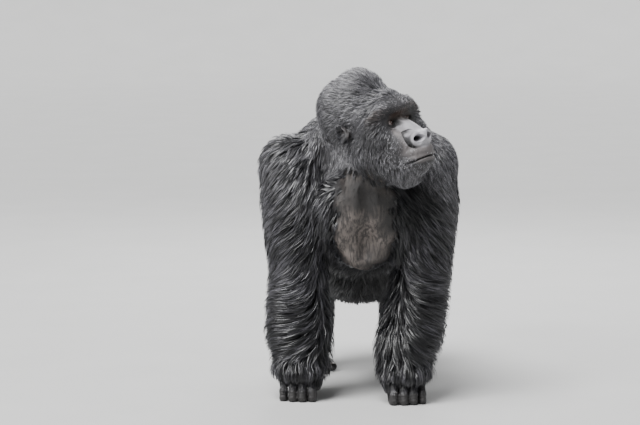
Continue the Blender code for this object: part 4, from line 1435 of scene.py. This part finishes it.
batches = {}
for grade, (cell, tries, layers) in GRADES.items():
    points, normals = scattered(cell, tries)
    reach = face_reach(in_head(points))
    downy = 0.15 * (reach < 1.15) * (1 - of_nose(points)) * soft_step(reach, 0.35, 0.6)
    downy *= (1 - of_socket(points)) * of_head(points)
    luck, down = draws.uniform(0.2, 1.0, len(points)), draws.random(len(points)) < downy
    keep = of_bare(points) < np.maximum(luck, 2 * down)
    keep &= grade_of(points) == grade
    keep &= draws.random(len(points)) < 1 - 0.93 * of_chest(points)
    points, normals = points[keep], normals[keep]
    guides = lay_guides(points, normals)
    names = region_of(points)
    for name in sorted(set(names)):
        chosen = names == name
        part = [values[chosen] for values in guides]
        batches.setdefault(name, []).append((points[chosen], part, layers))

# The words in a piece's name that tell how it is unwrapped. The trunk's way takes the rest.
UNWRAPS = {"head": ("crown", "face", "head", "jaw"), "arm": ("arm",), "leg": ("leg",), "trunk": ("",)}
coat_pieces = []
for name, parts in sorted(batches.items()):
    groups, roots, before = [], [], 0
    for points, guides, layers in parts:
        for layer in layers:
            rows, owner = tufts(guides, *layer)
            groups.append((rows, owner + before))
        roots.append(points)
        before += len(points)
    roots = np.concatenate(roots)
    kind = next(kind for kind, words in UNWRAPS.items() if any(word in name for word in words))
    piece = tuft_mesh(name, groups, roots, wrapped(roots, kind), coat_look)
    coat_pieces.append(piece)


# The skin's finish: black leathery hide, the same markings as the coat, bare and creased
# on the face, hands and feet, and grey-brown under thin hair on the breast.
def of_nostril(points):
    """1 down in the nostrils, where no light comes."""
    x, y, z = in_head(points).T
    apart = off_spot(x, z, (0.0248, -0.0595), (0.0170, 0.0088))
    return fades(apart, 0.7, 1.05) * soft_step(-y, 0.15, 0.17) * of_head(points)


def of_crease(points):
    """1 down in the groove round the nose's wings and between the lips, where shade is painted dark."""
    x, y, z = in_head(points).T
    radii = (NOSE_WING_WIDTH, NOSE_WING_HEIGHT)
    turn = np.arctan2((z - NOSE_WING[1]) / radii[1], (np.abs(x) - NOSE_WING[0]) / radii[0])
    groove = fades(np.abs(off_spot(x, z, NOSE_WING, radii) - 1) * 0.028, 0.0018, 0.0040)
    groove = groove * fades(np.abs(turn - 0.15), 1.15, 1.40)
    lips = fades(np.abs(z - mouth_line(x)), 0.0014, 0.0034) * fades(np.abs(x), 0.068, 0.074)
    return np.maximum(groove, lips) * soft_step(-y, 0.135, 0.150) * of_head(points)


def of_lid(points):
    """1 on the lids round each eye, which the hide darkens nearly to black."""
    x, y, z = in_head(points).T
    apart = off_spot(x, z, (EYE_PLACE.x, EYE_PLACE.z), (0.025, 0.0185))
    return fades(apart, 0.80, 1.15) * soft_step(-y, 0.10, 0.11) * of_head(points)


# Painted shade: the nostrils, the grooves round the nose and between the lips, and the sockets under the
# brow are painted near black. The lids are darkened nearly to black too.
black = [of_nostril(skin_points), 0.9 * of_crease(skin_points)]
black += [0.93 * of_socket(skin_points), 0.95 * of_lid(skin_points)]
paw = fades(skin_points[:, 2], 0.08, 0.14)
carry(
    skin.data,
    silver=of_silver(skin_points),
    brown=of_brown(skin_points),
    bare=np.maximum(of_bare(skin_points), of_chest(skin_points)),
    breast=of_chest(skin_points),
    nose=of_nose(skin_points),
    nostril=np.maximum.reduce(black),
    paw=np.maximum(paw, 0.8 * of_ear(in_head(skin_points))),
)
skin_look, shader, place = new_look("hide")
silver, brown, bare, breast = facts_of(place, "silver", "brown", "bare", "breast")
mottle = place.node("TexNoise", Vector=place, Scale=26.0, Detail=5.0)[0]
pores = place.node("TexVoronoi", {"feature": "DISTANCE_TO_EDGE"}, Vector=place, Scale=420.0)[0]
creases = place.node("TexNoise", Vector=place, Scale=150.0, Detail=4.0, Roughness=0.6)[0]
nose, paw, nostril = facts_of(place, "nose", "paw", "nostril")
leather = mottle.between((0.045, 0.041, 0.042, 1), (0.135, 0.122, 0.122, 1))
# Painted reflection: the nose pad and bridge are painted paler, as the light from above shining on their
# gloss.
painted_reflection = mottle.between((0.240, 0.236, 0.252, 1), (0.420, 0.412, 0.440, 1))
hard = mottle.between((0.006, 0.0055, 0.006, 1), (0.024, 0.022, 0.022, 1))
leather = paw.between(nose.between(leather, painted_reflection), hard)
# Near black: painted shade in the nostrils, creases and sockets, and the darkened lids.
leather = nostril.between(leather, (0.002, 0.002, 0.002, 1))
under_brow = mottle.between((0.016, 0.008, 0.005, 1), (0.048, 0.024, 0.016, 1))
broad = place.node("TexNoise", Vector=place, Scale=7.0, Detail=2.0)[0]
chest = mottle.between((0.030, 0.025, 0.022, 1), (0.205, 0.172, 0.155, 1))
thin = place.node("Mapping", Vector=place, Scale=(105.0, 105.0, 17.0))[0]
thin = place.node("TexNoise", Vector=thin, Scale=1.0, Detail=4.0, Roughness=0.65)[0]
chest = (thin.steps(0.42, 0.60) * 0.82).between(chest, (0.010, 0.0085, 0.008, 1))
# Darker in broad random patches, and painted shade towards the edges of the bare breast, where it turns
# under the coat.
chest = (broad.steps(0.35, 0.65) * breast.steps(0.30, 1.0)).between((0.008, 0.0065, 0.006, 1), chest)
shown = (brown * 0.9).between(leather, under_brow)
shown = breast.steps(0.0, 0.15).between(shown, chest)
# The hide under the coat is greyer under silver hair and under the painted sheen.
hidden = silver.between((0.009, 0.0085, 0.010, 1), (0.060, 0.058, 0.062, 1))
feed(shader, Base_Color=bare.between(hidden, shown))
feed(shader, Roughness=0.48 - nose * 0.16 + mottle * 0.12)
folds = place.node("TexNoise", Vector=place, Scale=48.0, Detail=3.0, Distortion=1.2)[0]
grain = (pores * 3.0).held() * 0.5 + creases * 0.9 + folds * 1.6 * (1 - nose * 0.7)
bump = place.node("Bump", Height=grain, Strength=0.55, Distance=0.0016)[0]
feed(shader, Normal=bump)
skin.data.materials.clear()
skin.data.materials.append(skin_look)


def put_on(piece, nodes=()):
    """Moves a finished piece from the drawing to the frame and says what it stands for."""
    piece.data.transform(Matrix.Translation(DRAWING_SHIFT) @ piece.matrix_world)
    piece.matrix_world = Matrix.Identity(4)
    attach(piece, "root")
    if nodes:
        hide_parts(*nodes)


flesh = [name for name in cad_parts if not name.startswith("eye")]
put_on(skin, flesh)
for piece in coat_pieces:
    put_on(piece)


# The toenails: thick, dark, ridged plates of horn, set in the top of each toe's end.
# Each is a bent plate with its own thickness, and sits a little proud of the skin.
NAIL_THICKNESS = 0.0016
NAIL_ARC = 44  # degrees to each side


def nail(clay, place, spot, yaw, radius, long):
    """One nail over the end of a toe of that radius."""
    place = place @ Matrix.Translation(spot) @ turned((9, 0, yaw))
    loops = []
    for row in range(7):
        share = row / 6
        arc_half = NAIL_ARC * (1 - 0.30 * share**3 - 0.18 * (1 - share) ** 4)
        angles = [math.radians(arc_half * (2 * k / 8 - 1)) for k in range(9)]
        top = radius * (1 + 0.03 * math.sin(math.pi * share))
        reach = [(top, angle) for angle in angles]
        reach += [(top - NAIL_THICKNESS, angle) for angle in reversed(angles)]
        y = 0.35 * long - share * long
        ring = [place @ Vector((r * math.sin(a), y, r * math.cos(a))) for r, a in reach]
        loops.append([clay.verts.new(point) for point in ring])
    close_round(clay, loops)


nail_look, shader, place = new_look("nail horn")
ridges = place.node("TexNoise", Vector=place, Scale=340.0, Detail=3.0)[0]
feed(shader, Base_Color=ridges.between((0.010, 0.008, 0.007, 1), (0.060, 0.050, 0.044, 1)))
feed(shader, Roughness=0.30 + ridges * 0.25)
feed(shader, Normal=place.node("Bump", Height=ridges, Strength=0.4, Distance=0.0006)[0])
for side, word in ((-1, "right"), (1, "left")):
    plates = bmesh.new()
    place = foot_frame(side)
    for toe in range(4):
        x = side * (2 * TOE_PITCH - TOE_PITCH * toe) * 1.02
        nail(plates, place, Vector((x, -0.134 - TOE_LENGTHS[toe], 0.0115)), 0, 0.0132, 0.0115)
    nail(plates, place, Vector((-side * 0.080, -0.137, 0.0155)), -side * 26, 0.0192, 0.0150)
    nails = object_from("toenails_" + word, plates)
    nails.data.shade_smooth()
    nails.data.materials.append(nail_look)
    put_on(nails)


# The eyes: a wet ball under the lids, with a round pupil, a red-brown iris and a dull
# brownish white. Each turns a little to the animal's left and up.
GAZE = HEAD_TURN @ Vector((0.10, -1.0, 0.12)).normalized()
IRIS_RADIUS = 0.0078
PUPIL_RADIUS = 0.0031
TO_CM = 100

for side, word in ((-1, "right"), (1, "left")):
    ball = bmesh.new()
    bmesh.ops.create_icosphere(ball, subdivisions=5, radius=EYE_RADIUS)
    for vert in ball.verts:
        # The clear front of the eye swells over the iris.
        ahead = vert.co.normalized().dot(GAZE)
        vert.co *= 1 + 0.055 * max(0.0, (ahead - 0.80) / 0.20) ** 1.5
    eye = object_from("eye_ball_" + word, ball)
    eye.location = HEAD_FRAME @ both(side, EYE_PLACE)
    bpy.context.view_layer.update()
    eye.data.shade_smooth()
    # The distance from the line of sight tells pupil, iris and white apart.
    reach = points_of(eye.data)
    ahead = reach @ np.array(GAZE)
    aside = np.linalg.norm(reach - ahead[:, None] * np.array(GAZE), axis=1)
    aside[ahead < 0] = 1.0
    carry(eye.data, aside=aside.astype(np.float32) * TO_CM)
    if word == "right":
        eye_look, shader, place = new_look("wet eye")
        aside = facts_of(place, "aside")[0]
        rays = place.node("TexNoise", Vector=place, Scale=700.0, Detail=2.0)[0]
        iris = rays.between((0.026, 0.010, 0.005, 1), (0.095, 0.040, 0.020, 1))
        white = rays.between((0.170, 0.140, 0.132, 1), (0.330, 0.285, 0.275, 1))
        edge = aside.steps(IRIS_RADIUS * TO_CM - 0.07, IRIS_RADIUS * TO_CM + 0.05)
        middle = aside.steps(PUPIL_RADIUS * TO_CM - 0.03, PUPIL_RADIUS * TO_CM + 0.03)
        shade = middle.between((0.001, 0.001, 0.001, 1), iris)
        feed(shader, Base_Color=edge.between(shade, white), Roughness=0.10)
        feed(shader, Coat_Weight=1.0, Coat_Roughness=0.03)
    eye.data.materials.append(eye_look)
    put_on(eye, ["eye_" + word])
